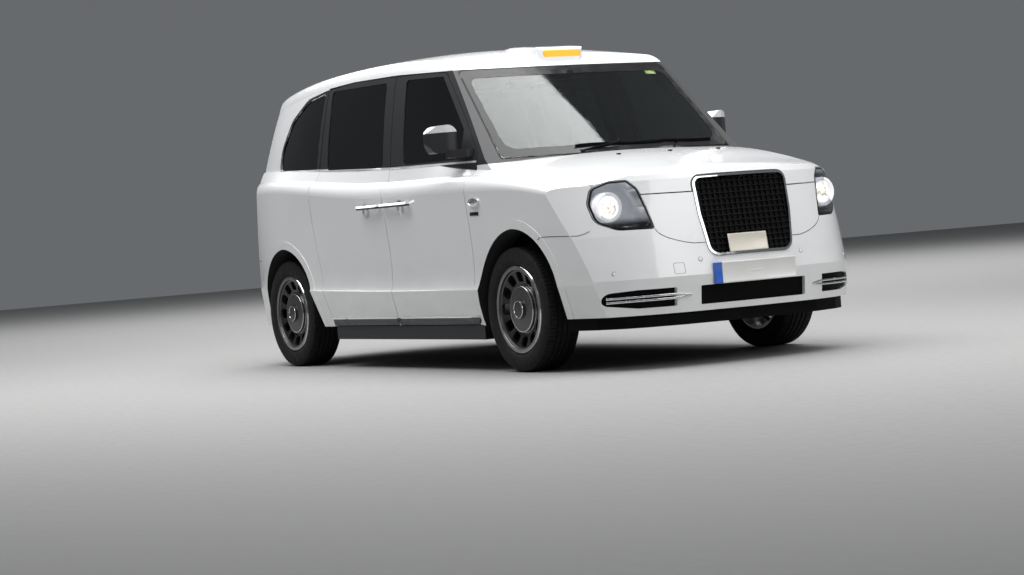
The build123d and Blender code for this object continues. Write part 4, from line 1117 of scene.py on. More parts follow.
def dropped(place, outward, names, lift):
    """The point of the nearest named panel under a place, seen from outside."""
    best = place
    reach = 0.30
    for name in names:
        hit, found, _, _ = cab[name].ray_cast(place + outward * 0.15, -outward, distance=reach)
        if hit and (found - place - outward * 0.15).length < reach:
            best, reach = found, (found - place - outward * 0.15).length
    return best + outward * lift


def joint_line(name, line, side, outward, names):
    places = [Vector((x, side * y, z)) for x, y, z in line]
    fine = [first.lerp(second, step / JOINT_STEPS) for first, second in zip(places, places[1:])
            for step in range(JOINT_STEPS)] + [places[-1]]
    strip = strip_along(name, [dropped(place, outward, names, 0.0003) for place in fine],
                        0.0011, 0.0006)
    return settle(strip, black_plastic, "root")


for label, side in SIDES:
    wing = f"front_wing_{label}"
    joint_line(f"wing_joint_{label}", WING_JOINT, side, Vector((0.45, side * 0.893, 0)),
               ("front_bumper", wing))
    joint_line(f"nose_joint_{label}", NOSE_JOINT, side, Vector((0.97, side * 0.243, 0)),
               ("front_bumper", "nose_panel"))
    outward = Vector((0.85, side * 0.527, 0))
    place = dropped(Vector((2.204, side * 0.736, 0.509)), outward, ("front_bumper",), 0)
    ring = button(f"outer_sensor_ring_{label}", place - outward * 0.002, outward, 0.0130, 0.0052)
    settle(ring, black_plastic, "root")
    sensor = button(f"outer_sensor_{label}", place - outward * 0.002, outward, 0.0108, 0.0066)
    settle(sensor, sensor_finish, "root")
print("joint lines and outer sensors made")


# %% [markdown]
# A headlamp is a grey bowl under the clear lens, dark on its outer side and at its foot. The
# solids have only its block, so the bowl is made from the block's own surface: the front
# faces are deleted, and the rest gets a wall. The lamps are on, so the bowl glows a little:
# that glow is painted light, as if the lamp lit its own bowl.

# %% Headlamp bowls
LAMP_OUTLINE = [(0.525, 0.732), (0.690, 0.735), (0.770, 0.780), (0.783, 0.880), (0.760, 0.962),
                (0.690, 0.992), (0.608, 0.993), (0.568, 0.945), (0.546, 0.850)]
LAMP_ROUND = [0.006, 0.090, 0.060, 0.100, 0.045, 0.060, 0.014, 0.060, 0.060]


def bowl_finish():
    """Silver grey towards the middle of the car, black on the outer side and at the foot."""
    finish = new_finish("lamp_bowl", (0.3, 0.3, 0.31), 0.25)
    shader = shader_of(finish)
    across = math_of(finish, "ABSOLUTE", axis_of(finish, "Y"))
    outer = spread(finish, across, 0.0, 1.0, 0.735, 0.755)
    foot = spread(finish, axis_of(finish, "Z"), 1.0, 0.0, 0.765, 0.80)
    dark = math_of(finish, "MAXIMUM", outer, foot)
    silver = two_colours(finish, grain(finish, 25, 3), (0.66, 0.66, 0.70), (0.48, 0.48, 0.52))
    colour = two_colours(finish, dark, silver, (0.012, 0.012, 0.013))
    link(finish, colour, shader.inputs["Base Color"])
    # Painted light: the bowl's own colour glows a little, as if lit by the lamp inside it.
    link(finish, colour, shader.inputs["Emission Color"])
    shader.inputs["Emission Strength"].default_value = 0.22
    link(finish, spread(finish, dark, 0.45, 0.1, 0.0, 1.0), shader.inputs["Metallic"])
    relief(finish, grain(finish, 300, 2), 0.05, 0.0004)
    return finish


lamp_bowl = bowl_finish()
bowls = copy_of(cab["headlamps"].data, "headlamp_bowls")
edit(bowls)
bpy.ops.mesh.remove_doubles(threshold=MERGE_DISTANCE)
done()
pick_faces(bowls, lambda face: face.normal.x > 0.05)
bpy.ops.mesh.delete(type="FACE")
done()
wall = bowls.modifiers.new("wall", "SOLIDIFY")
wall.thickness = 0.003
wall.offset = -1.0
apply_all(bowls)
settle(bowls, lamp_bowl, "root", outward=False)
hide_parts("headlamps")
print("bowl faces", len(bowls.data.polygons))


# %% [markdown]
# The projector sits inside the bowl and looks forward. Its ring is a cylinder whose front is
# inset and pushed in step by step, and a lit glass dome stands in it. A chrome blade lies
# below it, and a thin black border runs around the lens.

# %% Projectors and lamp borders
lit_core = new_finish("lamp_core", (1.0, 0.93, 0.80), 0.2)
shader_of(lit_core).inputs["Emission Strength"].default_value = 1.6
relief(lit_core, grain(lit_core, 60, 2), 0.3, 0.002)
facets = two_colours(lit_core, spread(lit_core, grain(lit_core, 55, 2), 0.0, 1.0, 0.35, 0.6),
                     (0.22, 0.20, 0.17), (1.0, 0.92, 0.76))
link(lit_core, facets, shader_of(lit_core).inputs["Emission Color"])
ring_light = new_finish("lamp_ring_light", (0.85, 0.85, 0.88), 0.25)
glow = two_colours(ring_light, grain(ring_light, 40, 2), (0.80, 0.80, 0.84), (0.55, 0.55, 0.60))
link(ring_light, glow, shader_of(ring_light).inputs["Emission Color"])
shader_of(ring_light).inputs["Emission Strength"].default_value = 0.45
reflector = metal("lamp_reflector", (0.80, 0.80, 0.82), 0.10, 0.04, 90)
PROJECTOR = Vector((2.090, 0.688, 0.858))
RING_OUTER, RING_INNER = 0.080, 0.060


def tube_ring(name, place, outer, inner, depth):
    """A round ring that faces forward, with its lips rounded."""
    bpy.ops.object.select_all(action="DESELECT")
    bpy.ops.mesh.primitive_cylinder_add(vertices=64, radius=outer, depth=depth, location=place,
                                        rotation=(0, math.radians(90), 0))
    piece = named(name)
    bpy.ops.object.transform_apply(location=True, rotation=True, scale=True)
    pick_faces(piece, lambda face: face.normal.x > 0.9)
    bpy.ops.mesh.inset(thickness=(outer - inner) * 0.35, depth=0.004)
    bpy.ops.mesh.inset(thickness=(outer - inner) * 0.65, depth=-0.004)
    bpy.ops.mesh.inset(thickness=0.004, depth=-depth * 0.45)
    bpy.ops.mesh.inset(thickness=inner * 0.30, depth=-depth * 0.2)
    done()
    return piece


for label, side in SIDES:
    centre = Vector((PROJECTOR.x, side * PROJECTOR.y, PROJECTOR.z))
    ring = tube_ring(f"projector_ring_{label}", centre, RING_OUTER, RING_INNER, 0.060)
    settle(ring, ring_light, "root")
    bpy.ops.object.select_all(action="DESELECT")
    bpy.ops.mesh.primitive_uv_sphere_add(segments=40, ring_count=20, radius=0.046,
                                         location=centre - Vector((0.006, 0, 0)))
    dome = named(f"projector_lens_{label}")
    bpy.ops.object.transform_apply(location=True, rotation=True, scale=True)
    edit(dome)
    bpy.ops.mesh.bisect(plane_co=centre - Vector((0.010, 0, 0)), plane_no=(-1, 0, 0),
                        clear_outer=True, use_fill=True)
    done()
    settle(dome, lit_core, "root")
    edge_line = shrunk(rounded(LAMP_OUTLINE, LAMP_ROUND, 6, 0.015), 0.0028)
    outline = [(side * across, up) for across, up in edge_line]
    border = to_ring(flat_shape(f"headlamp_border_{label}", outline), 0.008)
    lay_on(border, cab["headlamp_lenses"], "x", 1, 0.0003, 0.0006)
    settle(border, gloss_black, "root")
    eyelid = bar(f"lamp_chrome_blade_{label}", (2.10, -0.055, -0.004), (2.185, 0.055, 0.004),
                 0.003, 2)
    eyelid.location = (0, side * 0.620, 0.772)
    eyelid.rotation_euler = (0, 0, side * -math.radians(36))
    settle(eyelid, reflector, "root")
print("projectors at", round(PROJECTOR.x, 3))


# %% [markdown]
# Bright strips run along the foot of the windows and along the sills, and under the sill strip
# lies a slate grey band. Each follows the panel exactly, so each is made from the panel's own
# surface: a copy is cut by two planes, everything but the outer skin is deleted, and what is
# left gets a wall. Each strip rides on its own door, and stops at the door's gaps.

# %% Strips on the doors and quarters
BELT_ENDS = {"front": ((1.261, 1.164), (-0.067, 1.190)),
             "rear": ((-0.067, 1.190), (-1.034, 1.233)),
             "quarter": ((-1.034, 1.233), (-1.70, 1.267))}
STRIP_HEIGHT = 0.011
SILL_STRIP = (0.303, 0.315)
GREY_BAND = (0.266, 0.303)


def outer_skin(side):
    def keep(centre, normal):
        return centre.y * side > 0.80 and normal.y * side > 0.35
    return keep


def slanted(ends, rise):
    """A plane square to the side view through two points of the belt, moved up by a rise."""
    (x1, z1), (x2, z2) = ends
    along = Vector((x2 - x1, 0, z2 - z1)).normalized()
    upward = Vector((-along.z, 0, along.x))
    if upward.z < 0:
        upward = -upward
    return Vector((x1, 0, z1)) + upward * rise, upward


bright_trim = metal("bright_trim", (0.86, 0.87, 0.88), 0.34, 0.05)
shader_of(bright_trim).inputs["Metallic"].default_value = 0.45


def belt_strip(name, node_name, ends, side, body, clip=None):
    low_point, upward = slanted(ends, -0.001)
    high_point, _ = slanted(ends, STRIP_HEIGHT - 0.001)
    cuts = [(low_point, -upward), (high_point, upward)]
    if clip:
        cuts += [((clip, 0, 0), (-1, 0, 0))]
    strip = skin_of(name, node_name, cuts, outer_skin(side), 0.0022)
    return settle(strip, bright_trim, body, outward=False)


def level_strip(name, node_name, heights, side, body, finish, thickness):
    cuts = [((0, 0, heights[0]), (0, 0, -1)), ((0, 0, heights[1]), (0, 0, 1))]
    strip = skin_of(name, node_name, cuts, outer_skin(side), thickness)
    return settle(strip, finish, body, outward=False)


grey_band = moulded("slate_grey_band", (0.030, 0.032, 0.040), 0.42, 500, 0.05)
for label, side in SIDES:
    for place in ("front", "rear"):
        door, body = f"door_{place}_{label}", f"door_{place}_{label}_body"
        belt_strip(f"belt_strip_{place}_{label}", door, BELT_ENDS[place], side, body)
        level_strip(f"sill_strip_{place}_{label}", door, SILL_STRIP, side, body, chrome, 0.003)
        level_strip(f"sill_band_{place}_{label}", door, GREY_BAND, side, body, grey_band, 0.002)
    quarter = f"rear_quarter_{label}"
    belt_strip(f"belt_strip_quarter_{label}", quarter, BELT_ENDS["quarter"], side, "root", -1.72)
print("strips made on each side")


# %% [markdown]
# The fixed window behind the rear door has a broad black border, which joins it to the dark
# frame of the door. Two outlines are drawn in the side view, their edges are bridged, and the
# ring is laid on the panel.

# %% Borders of the rear quarter windows
PANE_EDGE = ((-1.096, 1.246), (-1.106, 1.716), (-1.383, 1.684), (-1.610, 1.570),
             (-1.720, 1.400), (-1.728, 1.268))
PANE_ROUND = (0.016, 0.026, 0.200, 0.160, 0.120, 0.060)
BORDER_EDGE = ((-1.051, 1.240), (-1.064, 1.742), (-1.388, 1.706), (-1.630, 1.586),
               (-1.743, 1.408), (-1.750, 1.266))
BORDER_ROUND = (0.004, 0.012, 0.215, 0.175, 0.135, 0.050)


def ring_between(name, outer, inner):
    """A flat ring between two outlines, divided finely enough to bend."""
    pieces = []
    for outline in (outer, inner):
        piece = flat_shape(name, outline)
        edit(piece)
        bpy.ops.mesh.delete(type="ONLY_FACE")
        done()
        pieces.append(piece)
    ring = join(name, pieces)
    edit(ring)
    bpy.ops.mesh.bridge_edge_loops()
    bpy.ops.mesh.subdivide(number_cuts=3)
    done()
    return ring


satin_black = moulded("satin_black", (0.014, 0.0145, 0.016), 0.38, 500, 0.05)
for label, side in SIDES:
    border = ring_between(f"quarter_border_{label}", rounded(BORDER_EDGE, BORDER_ROUND, 8, 0.03),
                          rounded(PANE_EDGE, PANE_ROUND, 8, 0.03))
    for vertex in border.data.vertices:
        vertex.co = (vertex.co.y, 0, vertex.co.z)
    lay_on(border, cab[f"rear_quarter_{label}"], "y", side, 0.0008, 0.0008)
    settle(border, satin_black, "root")
print("quarter borders", len(border.data.polygons), "faces")


# %% [markdown]
# On each front wing sit a chrome oval side lamp and a small blank badge. The oval is a
# cylinder scaled along the car, with its face inset and pushed in to take a domed silvery lens.

# %% Side lamps and blank badges
def side_place(name, along, up, side):
    """Where a line from the side meets a node's surface."""
    return cab[name].ray_cast(Vector((along, side * 1.4, up)), Vector((0, -side, 0)))[1]


for label, side in SIDES:
    place = side_place(f"front_wing_{label}", 1.090, 0.946, side)
    bpy.ops.object.select_all(action="DESELECT")
    bpy.ops.mesh.primitive_cylinder_add(vertices=64, radius=0.0235, depth=0.020,
                                        location=place + Vector((0, side * 0.001, 0)),
                                        rotation=(math.radians(-90 * side), 0, 0))
    lamp = named(f"side_lamp_{label}")
    lamp.scale = (2.38, 1, 1)
    bpy.ops.object.transform_apply(location=True, rotation=True, scale=True)
    pick_faces(lamp, lambda face: face.normal.y * side > 0.9)
    bpy.ops.mesh.inset(thickness=0.003, depth=0.002)
    bpy.ops.mesh.inset(thickness=0.005, depth=0.0015)
    bpy.ops.mesh.inset(thickness=0.002, depth=-0.002)
    done()
    settle(lamp, chrome, "root")
    insert = button(f"side_lamp_lens_{label}", (0, 0, 0), (0, side, 0), 0.0125, 0.006, 0.002)
    insert.location = place + Vector((0, side * 0.0115, 0))
    insert.scale = (3.1, 1, 1)
    settle(insert, reflector, "root")
    place = side_place(f"front_wing_{label}", 1.071, 0.882, side)
    badge = bar(f"blank_badge_{label}", (1.021, place.y - 0.0015, 0.8715),
                (1.121, place.y + 0.0015, 0.8925), 0.001, 2)
    settle(badge, gloss_black, "root")
print("side lamps at 1.090")


# %% [markdown]
# The windscreen glass is bonded, and the black printed band hides the glue. It is a flat
# ring drawn in the front view, laid on the outer face of the glass with the thickness of a
# coat of paint, so it follows the curve. The wipers park along its foot: each is a blade, an
# arm that bends up to it, and a round cap on its pivot.

# %% Printed band and wipers
SCREEN_OUTER = [(-0.7690, 1.180), (0.7690, 1.180), (0.6910, 1.710), (-0.6910, 1.710)]
SCREEN_INNER = [(-0.708, 1.226), (0.708, 1.226), (0.655, 1.662), (-0.655, 1.662)]
outer_line = rounded(SCREEN_OUTER, 0.050, 8, 0.04)
inner_line = rounded(SCREEN_INNER, 0.060, 8, 0.04)
band = ring_between("windscreen_band", outer_line, inner_line)
printed = moulded("printed_band", (0.010, 0.010, 0.011), 0.16, 300, 0.01)
shader_of(printed).inputs["Specular IOR Level"].default_value = 0.32
lay_on(band, cab["fixed_glass"], "x", 1, 0.0002, 0.0004)
low = min(vertex.co.x for vertex in band.data.vertices)
print("band lies from x", round(low, 3))
settle(band, printed, "root")


def on_screen(across, up, off=0.010):
    """A point just off the windscreen, or off the cowl below it."""
    hit, place, normal, _ = cab["fixed_glass"].ray_cast(Vector((3, across, up)),
                                                       Vector((-1, 0, 0)))
    return (place + normal * off) if hit else Vector((1.28, across, up))


def wiper(name, pivot, heel, tip, rise):
    """A blade with its frame, an arm and a pivot cap."""
    blade_line = [on_screen(heel + (tip - heel) * step / 6, rise + 0.004 * math.sin(step), 0.008)
                  for step in range(7)]
    blade = strip_along(name, blade_line, 0.006, 0.003)
    arm_line = [Vector(pivot) + Vector((0, 0, 0.012)),
                Vector(pivot).lerp(blade_line[3], 0.5) + Vector((0.012, 0, 0.012)),
                blade_line[3] + Vector((0.012, 0, 0.004))]
    arm = strip_along(name + "_arm", arm_line, 0.005, 0.003)
    cap = button(name + "_cap", Vector(pivot) + Vector((0, 0, 0.006)), (0.3, 0, 1), 0.017, 0.026,
                 0.004)
    return settle(join(name, [blade, arm, cap]), black_plastic, "root")


wiper("wiper_right", (1.252, -0.300, 1.176), -0.330, 0.230, 1.214)
wiper("wiper_left", (1.215, 0.330, 1.160), 0.060, 0.620, 1.214)
for number, (along, across) in enumerate(((1.504, -0.222), (1.505, 0.115), (1.440, 0.482))):
    _, place, _, _ = cab["bonnet"].ray_cast(Vector((along, across, 1.6)), Vector((0, 0, -1)))
    nozzle = bar(f"washer_{number}", place - Vector((0.012, 0.009, 0.003)),
                 place + Vector((0.012, 0.009, 0.007)), 0.003, 3)
    settle(nozzle, black_plastic, "bonnet_body")
print("two wipers, three washers")


# %% [markdown]
# Inside the windscreen hang a mirror on a stalk and a blank paper slip near its top corner.

# %% Inner mirror and blank sticker
pad = bar("inner_mirror", (0.640, -0.135, 1.560), (0.672, 0.115, 1.625), 0.012, 4)
stalk = button("mirror_stalk", (0.668, -0.010, 1.640), (0.3, 0, 1), 0.009, 0.080, 0.002, 20)
foot = button("mirror_foot", (0.692, -0.010, 1.664), (1, 0, 0.8), 0.022, 0.020, 0.004, 24)
settle(join("inner_mirror", [pad, stalk, foot]), black_plastic, "root")
paper = moulded("blank_paper", (0.62, 0.66, 0.22), 0.6, 300, 0.05)
SLIP = [(0.520, 1.638), (0.596, 1.636), (0.600, 1.679), (0.524, 1.684)]
slip = flat_shape("blank_sticker", rounded(SLIP, 0.006), "front", 0.2)
lay_on(slip, cab["fixed_glass"], "x", -1, 0.0003, 0.0004, -0.2)
settle(slip, paper, "root")
print("cabin glass details made")


# %% [markdown]
# Each door mirror has a silvery cap on top, a dark shell and foot, and glass behind. The CAD
# node keeps its shape, its finish changes colour at the edge of the cap, and a thin glass
# plate with a rounded outline lies in the rear face.

# %% Door mirrors
mirror_shell = new_finish("mirror_shell", (0.02, 0.02, 0.02), 0.3)
cap_part = math_of(mirror_shell, "GREATER_THAN", axis_of(mirror_shell, "Z"), 1.353)
shell_dark = two_colours(mirror_shell, grain(mirror_shell, 300, 3), (0.012, 0.012, 0.013),
                         (0.030, 0.030, 0.032))
link(mirror_shell, two_colours(mirror_shell, cap_part, shell_dark, (0.62, 0.63, 0.64)),
     shader_of(mirror_shell).inputs["Base Color"])
link(mirror_shell, spread(mirror_shell, cap_part, 0.38, 0.18, 0.0, 1.0),
     shader_of(mirror_shell).inputs["Roughness"])
relief(mirror_shell, grain(mirror_shell, 600, 2), 0.05, 0.0003)
wear(mirror_shell, "mirror shell", *paired("mirror"))
mirror_glass = metal("mirror_glass", (0.75, 0.77, 0.80), 0.03, 0.01, 12)
for label, side in SIDES:
    outline = rounded([(side * 0.872, 1.276), (side * 0.984, 1.276), (side * 0.984, 1.345),
                       (side * 0.950, 1.368), (side * 0.872, 1.364)], 0.018, 6, 0.02)
    pane = flat_shape(f"mirror_glass_{label}", outline, "front", 0.2)
    lay_on(pane, cab[f"mirror_{label}"], "x", -1, 0.0, 0.0015)
    settle(pane, mirror_glass, f"door_front_{label}_body")
print("mirrors done")


# %% [markdown]
# A tyre starts as an open cylinder, the tread band, which planes cut into ribs. Its two rims
# are extruded and scaled step by step into the shoulders, the side walls and the beads, and
# the beads are bridged.

# %% Tyre body
TYRE_RADIUS = 0.343
TYRE_MIDDLE = 0.7765
TREAD_HALF = 0.080
TREAD_STEPS = 90
GROOVES = (-0.046, -0.016, 0.016, 0.046)
GROOVE_HALF, GROOVE_DEPTH = 0.0042, 0.0070
SIDE_WALL = ((0.094, 0.3375), (0.1030, 0.3240), (0.1070, 0.3000), (0.1060, 0.2780),
             (0.1020, 0.2600), (0.0960, 0.2500), (0.0900, 0.2450), (0.0900, 0.2390))


def grow_rim(piece, side, offset, radius):
    """Extrudes one open rim and scales it to its next radius."""
    on_rim = next(edge for edge in piece.data.edges if edge.select).vertices[0]
    corner = piece.data.vertices[on_rim].co
    now, level = math.hypot(corner.x, corner.z), corner.y
    bpy.ops.object.mode_set(mode="EDIT")
    bpy.ops.mesh.extrude_edges_move()
    bpy.ops.transform.translate(value=(0, side * offset - level, 0))
    bpy.ops.transform.resize(value=(radius / now, 1, radius / now), center_override=(0, 0, 0))
    done()


def pick_rim(piece, side):
    """Selects the outermost rim of the open band on one side."""
    take(piece)
    bpy.ops.object.mode_set(mode="EDIT")
    bpy.ops.mesh.select_mode(type="EDGE")
    bpy.ops.mesh.select_all(action="DESELECT")
    done()
    for edge in piece.data.edges:
        ends = [piece.data.vertices[index].co.y * side for index in edge.vertices]
        edge.select = min(ends) > TREAD_HALF - 0.0001


bpy.ops.object.select_all(action="DESELECT")
bpy.ops.mesh.primitive_cylinder_add(vertices=TREAD_STEPS, radius=TYRE_RADIUS,
                                    depth=2 * TREAD_HALF, end_fill_type="NOTHING",
                                    rotation=(math.radians(90), 0, 0))
tyre = named("tyre_pattern")
bpy.ops.object.transform_apply(location=True, rotation=True, scale=True)
edit(tyre)
for centre_line in GROOVES:
    for shift in (-GROOVE_HALF, GROOVE_HALF):
        bpy.ops.mesh.select_all(action="SELECT")
        bpy.ops.mesh.bisect(plane_co=(0, centre_line + shift, 0), plane_no=(0, 1, 0))
done()
for side in (1, -1):
    pick_rim(tyre, side)
    for offset, radius in SIDE_WALL:
        grow_rim(tyre, side, offset, radius)
edit(tyre, "DESELECT")
bpy.ops.mesh.select_non_manifold(extend=False, use_wire=False, use_multi_face=False,
                                 use_non_contiguous=False, use_verts=False)
bpy.ops.mesh.bridge_edge_loops()
bpy.ops.mesh.select_all(action="DESELECT")
done()


print("tyre body", len(tyre.data.polygons), "faces")


# %% [markdown]
# Short grooves across the outer ribs come from edges that are bevelled into narrow faces.
# Those faces and the ones along the cut lines are pushed in together, and that is the tread.

# %% Grooves of the tread
OUTER_RIB = (0.045, 0.0945)
CROSS_HALF, CROSS_FROM, CROSS_WIDEST = 0.0018, 0.049, 0.006
TREAD_FLOOR, SAME_LEVEL = 0.33, 0.0004


def span_around(corners):
    """The longest way between two corners at one level across, or 1 where there are none."""
    return max(((a - b).length for a in corners for b in corners
                if a is not b and abs(a.y - b.y) < SAME_LEVEL), default=1)


for edge in tyre.data.edges:
    ends = [tyre.data.vertices[index].co for index in edge.vertices]
    across = abs(ends[0].y - ends[1].y)
    levels_of = [abs(end.y) for end in ends]
    outer = max(levels_of) < OUTER_RIB[1] and min(levels_of) > OUTER_RIB[0]
    edge.select = across > 0.002 and outer
bpy.ops.object.mode_set(mode="EDIT")
bpy.ops.mesh.bevel(offset=CROSS_HALF, segments=1, affect="EDGES")
bpy.ops.mesh.select_mode(type="FACE")
bpy.ops.mesh.select_all(action="DESELECT")
done()
for face in tyre.data.polygons:
    corners = [tyre.data.vertices[index].co for index in face.vertices]
    level = abs(face.center.y)
    on_tread = math.hypot(face.center.x, face.center.z) > TREAD_FLOOR
    along_groove = any(abs(level - abs(line)) < GROOVE_HALF - 0.0002 for line in GROOVES)
    cross_groove = level > CROSS_FROM and span_around(corners) < CROSS_WIDEST
    face.select = on_tread and (along_groove or cross_groove)
print("groove faces", sum(face.select for face in tyre.data.polygons))
bpy.ops.object.mode_set(mode="EDIT")
bpy.ops.mesh.extrude_region_shrink_fatten(TRANSFORM_OT_shrink_fatten={"value": -GROOVE_DEPTH})
done()


# %% [markdown]
# Rubber's side walls carry moulded ridges. They are a bump that reads the distance from the
# wheel's own axle, so each axle has its own finish. One tyre is copied to each wheel.

# %% Rubber for each axle, and the four tyres
RIDGE_RATE, RIB_RATE = 900.0, 220.0
RIDGE_EDGE, RIB_BAND = 0.325, (0.285, 0.310)


def rubber_finish(axle):
    finish = new_finish(f"rubber_{axle}", (0.012, 0.012, 0.0125), 0.75)
    shader_of(finish).inputs["Specular IOR Level"].default_value = 0.25
    away, turn = from_axle(finish, AXLES[axle])
    dusty = two_colours(finish, grain(finish, 40, 5), (0.006, 0.006, 0.0065),
                        (0.014, 0.0138, 0.013))
    link(finish, dusty, shader_of(finish).inputs["Base Color"])
    rings = math_of(finish, "SINE", times(finish, away, RIDGE_RATE))
    wall = math_of(finish, "LESS_THAN", away, RIDGE_EDGE)
    relief(finish, times(finish, rings, wall), 0.25, 0.0008)
    fine = math_of(finish, "SINE", times(finish, turn, RIB_RATE))
    ribbed = times(finish, math_of(finish, "GREATER_THAN", away, RIB_BAND[0]),
                   math_of(finish, "LESS_THAN", away, RIB_BAND[1]))
    relief(finish, times(finish, fine, ribbed), 0.3, 0.0008)
    link(finish, spread(finish, grain(finish, 25, 4), 0.62, 0.85),
         shader_of(finish).inputs["Roughness"])
    return finish


rubber_of = {axle: rubber_finish(axle) for axle in AXLES}
for axle, axle_x in AXLES.items():
    for label, side in SIDES:
        twin = copy_of(tyre.data, f"treaded_tyre_{axle}_{label}")
        twin.location = (axle_x, side * TYRE_MIDDLE, AXLE_HEIGHT)
        settle(twin, rubber_of[axle], f"wheel_{axle}_{label}_body", 30)
        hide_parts(f"tyre_{axle}_{label}")
bpy.data.objects.remove(tyre)
print("tyre faces", len(twin.data.polygons))


# %% [markdown]
# The wheel is painted steel behind a trim: a bright lip, a black dish with hand holes, and a
# grey disc with a bright edge around the cap. All are rings around the axle, so one finish
# goes by the distance from it. The cap's ring is a piece of its own.

# %% Wheel finish and cap rings
RIM_SPAN = 0.25
WHEEL_RINGS = ((0.000, (0.10, 0.10, 0.105), 0.40, 0.9), (0.049, (0.05, 0.05, 0.055), 0.40, 0.9),
               (0.055, (0.13, 0.13, 0.135), 0.38, 0.9), (0.121, (0.72, 0.72, 0.73), 0.15, 1.0),
               (0.129, (0.020, 0.020, 0.022), 0.35, 0.5), (0.208, (0.10, 0.10, 0.105), 0.3, 0.8),
               (0.218, (0.34, 0.34, 0.35), 0.28, 1.0), (0.2365, (0.80, 0.80, 0.81), 0.10, 1.0))


def wheel_finish(axle):
    """Rings of colour, gloss and metal around the axle."""
    finish = new_finish(f"wheel_{axle}", (0.5, 0.5, 0.5), 0.3, 1.0)
    away, _ = from_axle(finish, AXLES[axle])
    share = spread(finish, away, 0.0, 1.0, 0.0, RIM_SPAN)
    ramps = []
    for values in ("colour", "gloss"):
        ramp = node(finish, "ShaderNodeValToRGB")
        ramp.color_ramp.interpolation = "CONSTANT"
        stops = ramp.color_ramp.elements
        for index, (start, colour, rough, shine) in enumerate(WHEEL_RINGS):
            if index < 2:
                stop = stops[index]
                stop.position = start / RIM_SPAN
            else:
                stop = stops.new(start / RIM_SPAN)
            stop.color = (*colour, 1) if values == "colour" else (rough, shine, 0, 1)
        link(finish, share, ramp.inputs["Fac"])
        ramps.append(ramp)
    brake_dust = spread(finish, grain(finish, 20, 5), 0.0, 0.35)
    link(finish, two_colours(finish, brake_dust, ramps[0].outputs["Color"], (0.10, 0.09, 0.08)),
         shader_of(finish).inputs["Base Color"])
    split = node(finish, "ShaderNodeSeparateColor")
    link(finish, ramps[1].outputs["Color"], split.inputs[0])
    link(finish, split.outputs[0], shader_of(finish).inputs["Roughness"])
    link(finish, split.outputs[1], shader_of(finish).inputs["Metallic"])
    return finish


wheel_paint = {axle: wheel_finish(axle) for axle in AXLES}
FACE_Y = 0.8725
for axle, axle_x in AXLES.items():
    for label, side in SIDES:
        wear(wheel_paint[axle], "wheel paint", f"rim_{axle}_{label}")
        hub = Vector((axle_x, side * FACE_Y, AXLE_HEIGHT))
        bpy.ops.object.select_all(action="DESELECT")
        bpy.ops.mesh.primitive_torus_add(major_radius=0.047, minor_radius=0.0028,
                                         major_segments=48, minor_segments=10,
                                         location=hub - Vector((0, side * 0.0005, 0)),
                                         rotation=(math.radians(90), 0, 0))
        settle(named(f"cap_ring_{axle}_{label}"), chrome, f"wheel_{axle}_{label}_body")
print("wheels finished")


# %% [markdown]
# Seats are covered in a woven cloth, with channels sewn into it. The weave is two sets of
# waves multiplied, one across and one along, and the channels are broader waves. Both are
# bumps, and the rates are in radians a metre.

# %% Seat cloth
THREAD_RATE, CHANNEL_RATE = 2600.0, 28.0
seat_weave = new_finish("seat_weave", (0.045, 0.047, 0.055), 0.8)
shader_of(seat_weave).inputs["Sheen Weight"].default_value = 0.3
warp = math_of(seat_weave, "SINE", times(seat_weave, axis_of(seat_weave, "Y"), THREAD_RATE))
length = math_of(seat_weave, "ADD", axis_of(seat_weave, "X"), axis_of(seat_weave, "Z"))
weft = math_of(seat_weave, "SINE", times(seat_weave, length, THREAD_RATE))
relief(seat_weave, times(seat_weave, warp, weft), 0.35, 0.0006)
channel = math_of(seat_weave, "ABSOLUTE", math_of(
    seat_weave, "SINE", times(seat_weave, axis_of(seat_weave, "Y"), CHANNEL_RATE)))
relief(seat_weave, spread(seat_weave, channel, 0.0, 1.0, 0.0, 0.14), 0.8, 0.004)
link(seat_weave, two_colours(seat_weave, grain(seat_weave, 30, 4), (0.030, 0.032, 0.040),
                             (0.060, 0.062, 0.072)), shader_of(seat_weave).inputs["Base Color"])
print("seat cloth ready")


# %% [markdown]
# Seats are foam under cloth. Each pad starts as a cube at its size, a little smaller than the
# space it fills, with its edges rounded. It is remeshed finely, blown up by a cloth simulation
# with pressure, and no point may move further than a cap.

# %% Padded seats
PADS = (
    # kind, size, then the name, middle and backward lean of each copy
    ("driver_cushion", (0.490, 0.490, 0.130), (("driver_cushion", (0.190, -0.380, 0.590), 0.0),)),
    ("driver_back", (0.105, 0.490, 0.540), (("driver_back", (-0.070, -0.380, 0.870), 12.4),)),
    ("head", (0.070, 0.240, 0.160), (("driver_head", (-0.156, -0.380, 1.235), 6.0),
                                     ("bench_head_left", (-1.730, 0.350, 1.265), 6.0),
                                     ("bench_head_middle", (-1.730, 0.000, 1.265), 6.0),
                                     ("bench_head_right", (-1.730, -0.350, 1.265), 6.0))),
    ("bench_cushion", (0.490, 1.045, 0.130), (("bench_cushion", (-1.390, 0.0, 0.630), 0.0),)),
    ("bench_back", (0.100, 1.045, 0.540), (("bench_back", (-1.645, 0.0, 0.905), 12.4),)),
    ("folding", (0.095, 0.390, 0.540), (("folding_seat_left", (-0.417, 0.460, 0.840), 0.0),
                                        ("folding_seat_middle", (-0.417, 0.0, 0.840), 0.0),
                                        ("folding_seat_right", (-0.417, -0.460, 0.840), 0.0))),
)
MOST_SWELL, THICK_PAD = 0.022, 0.13


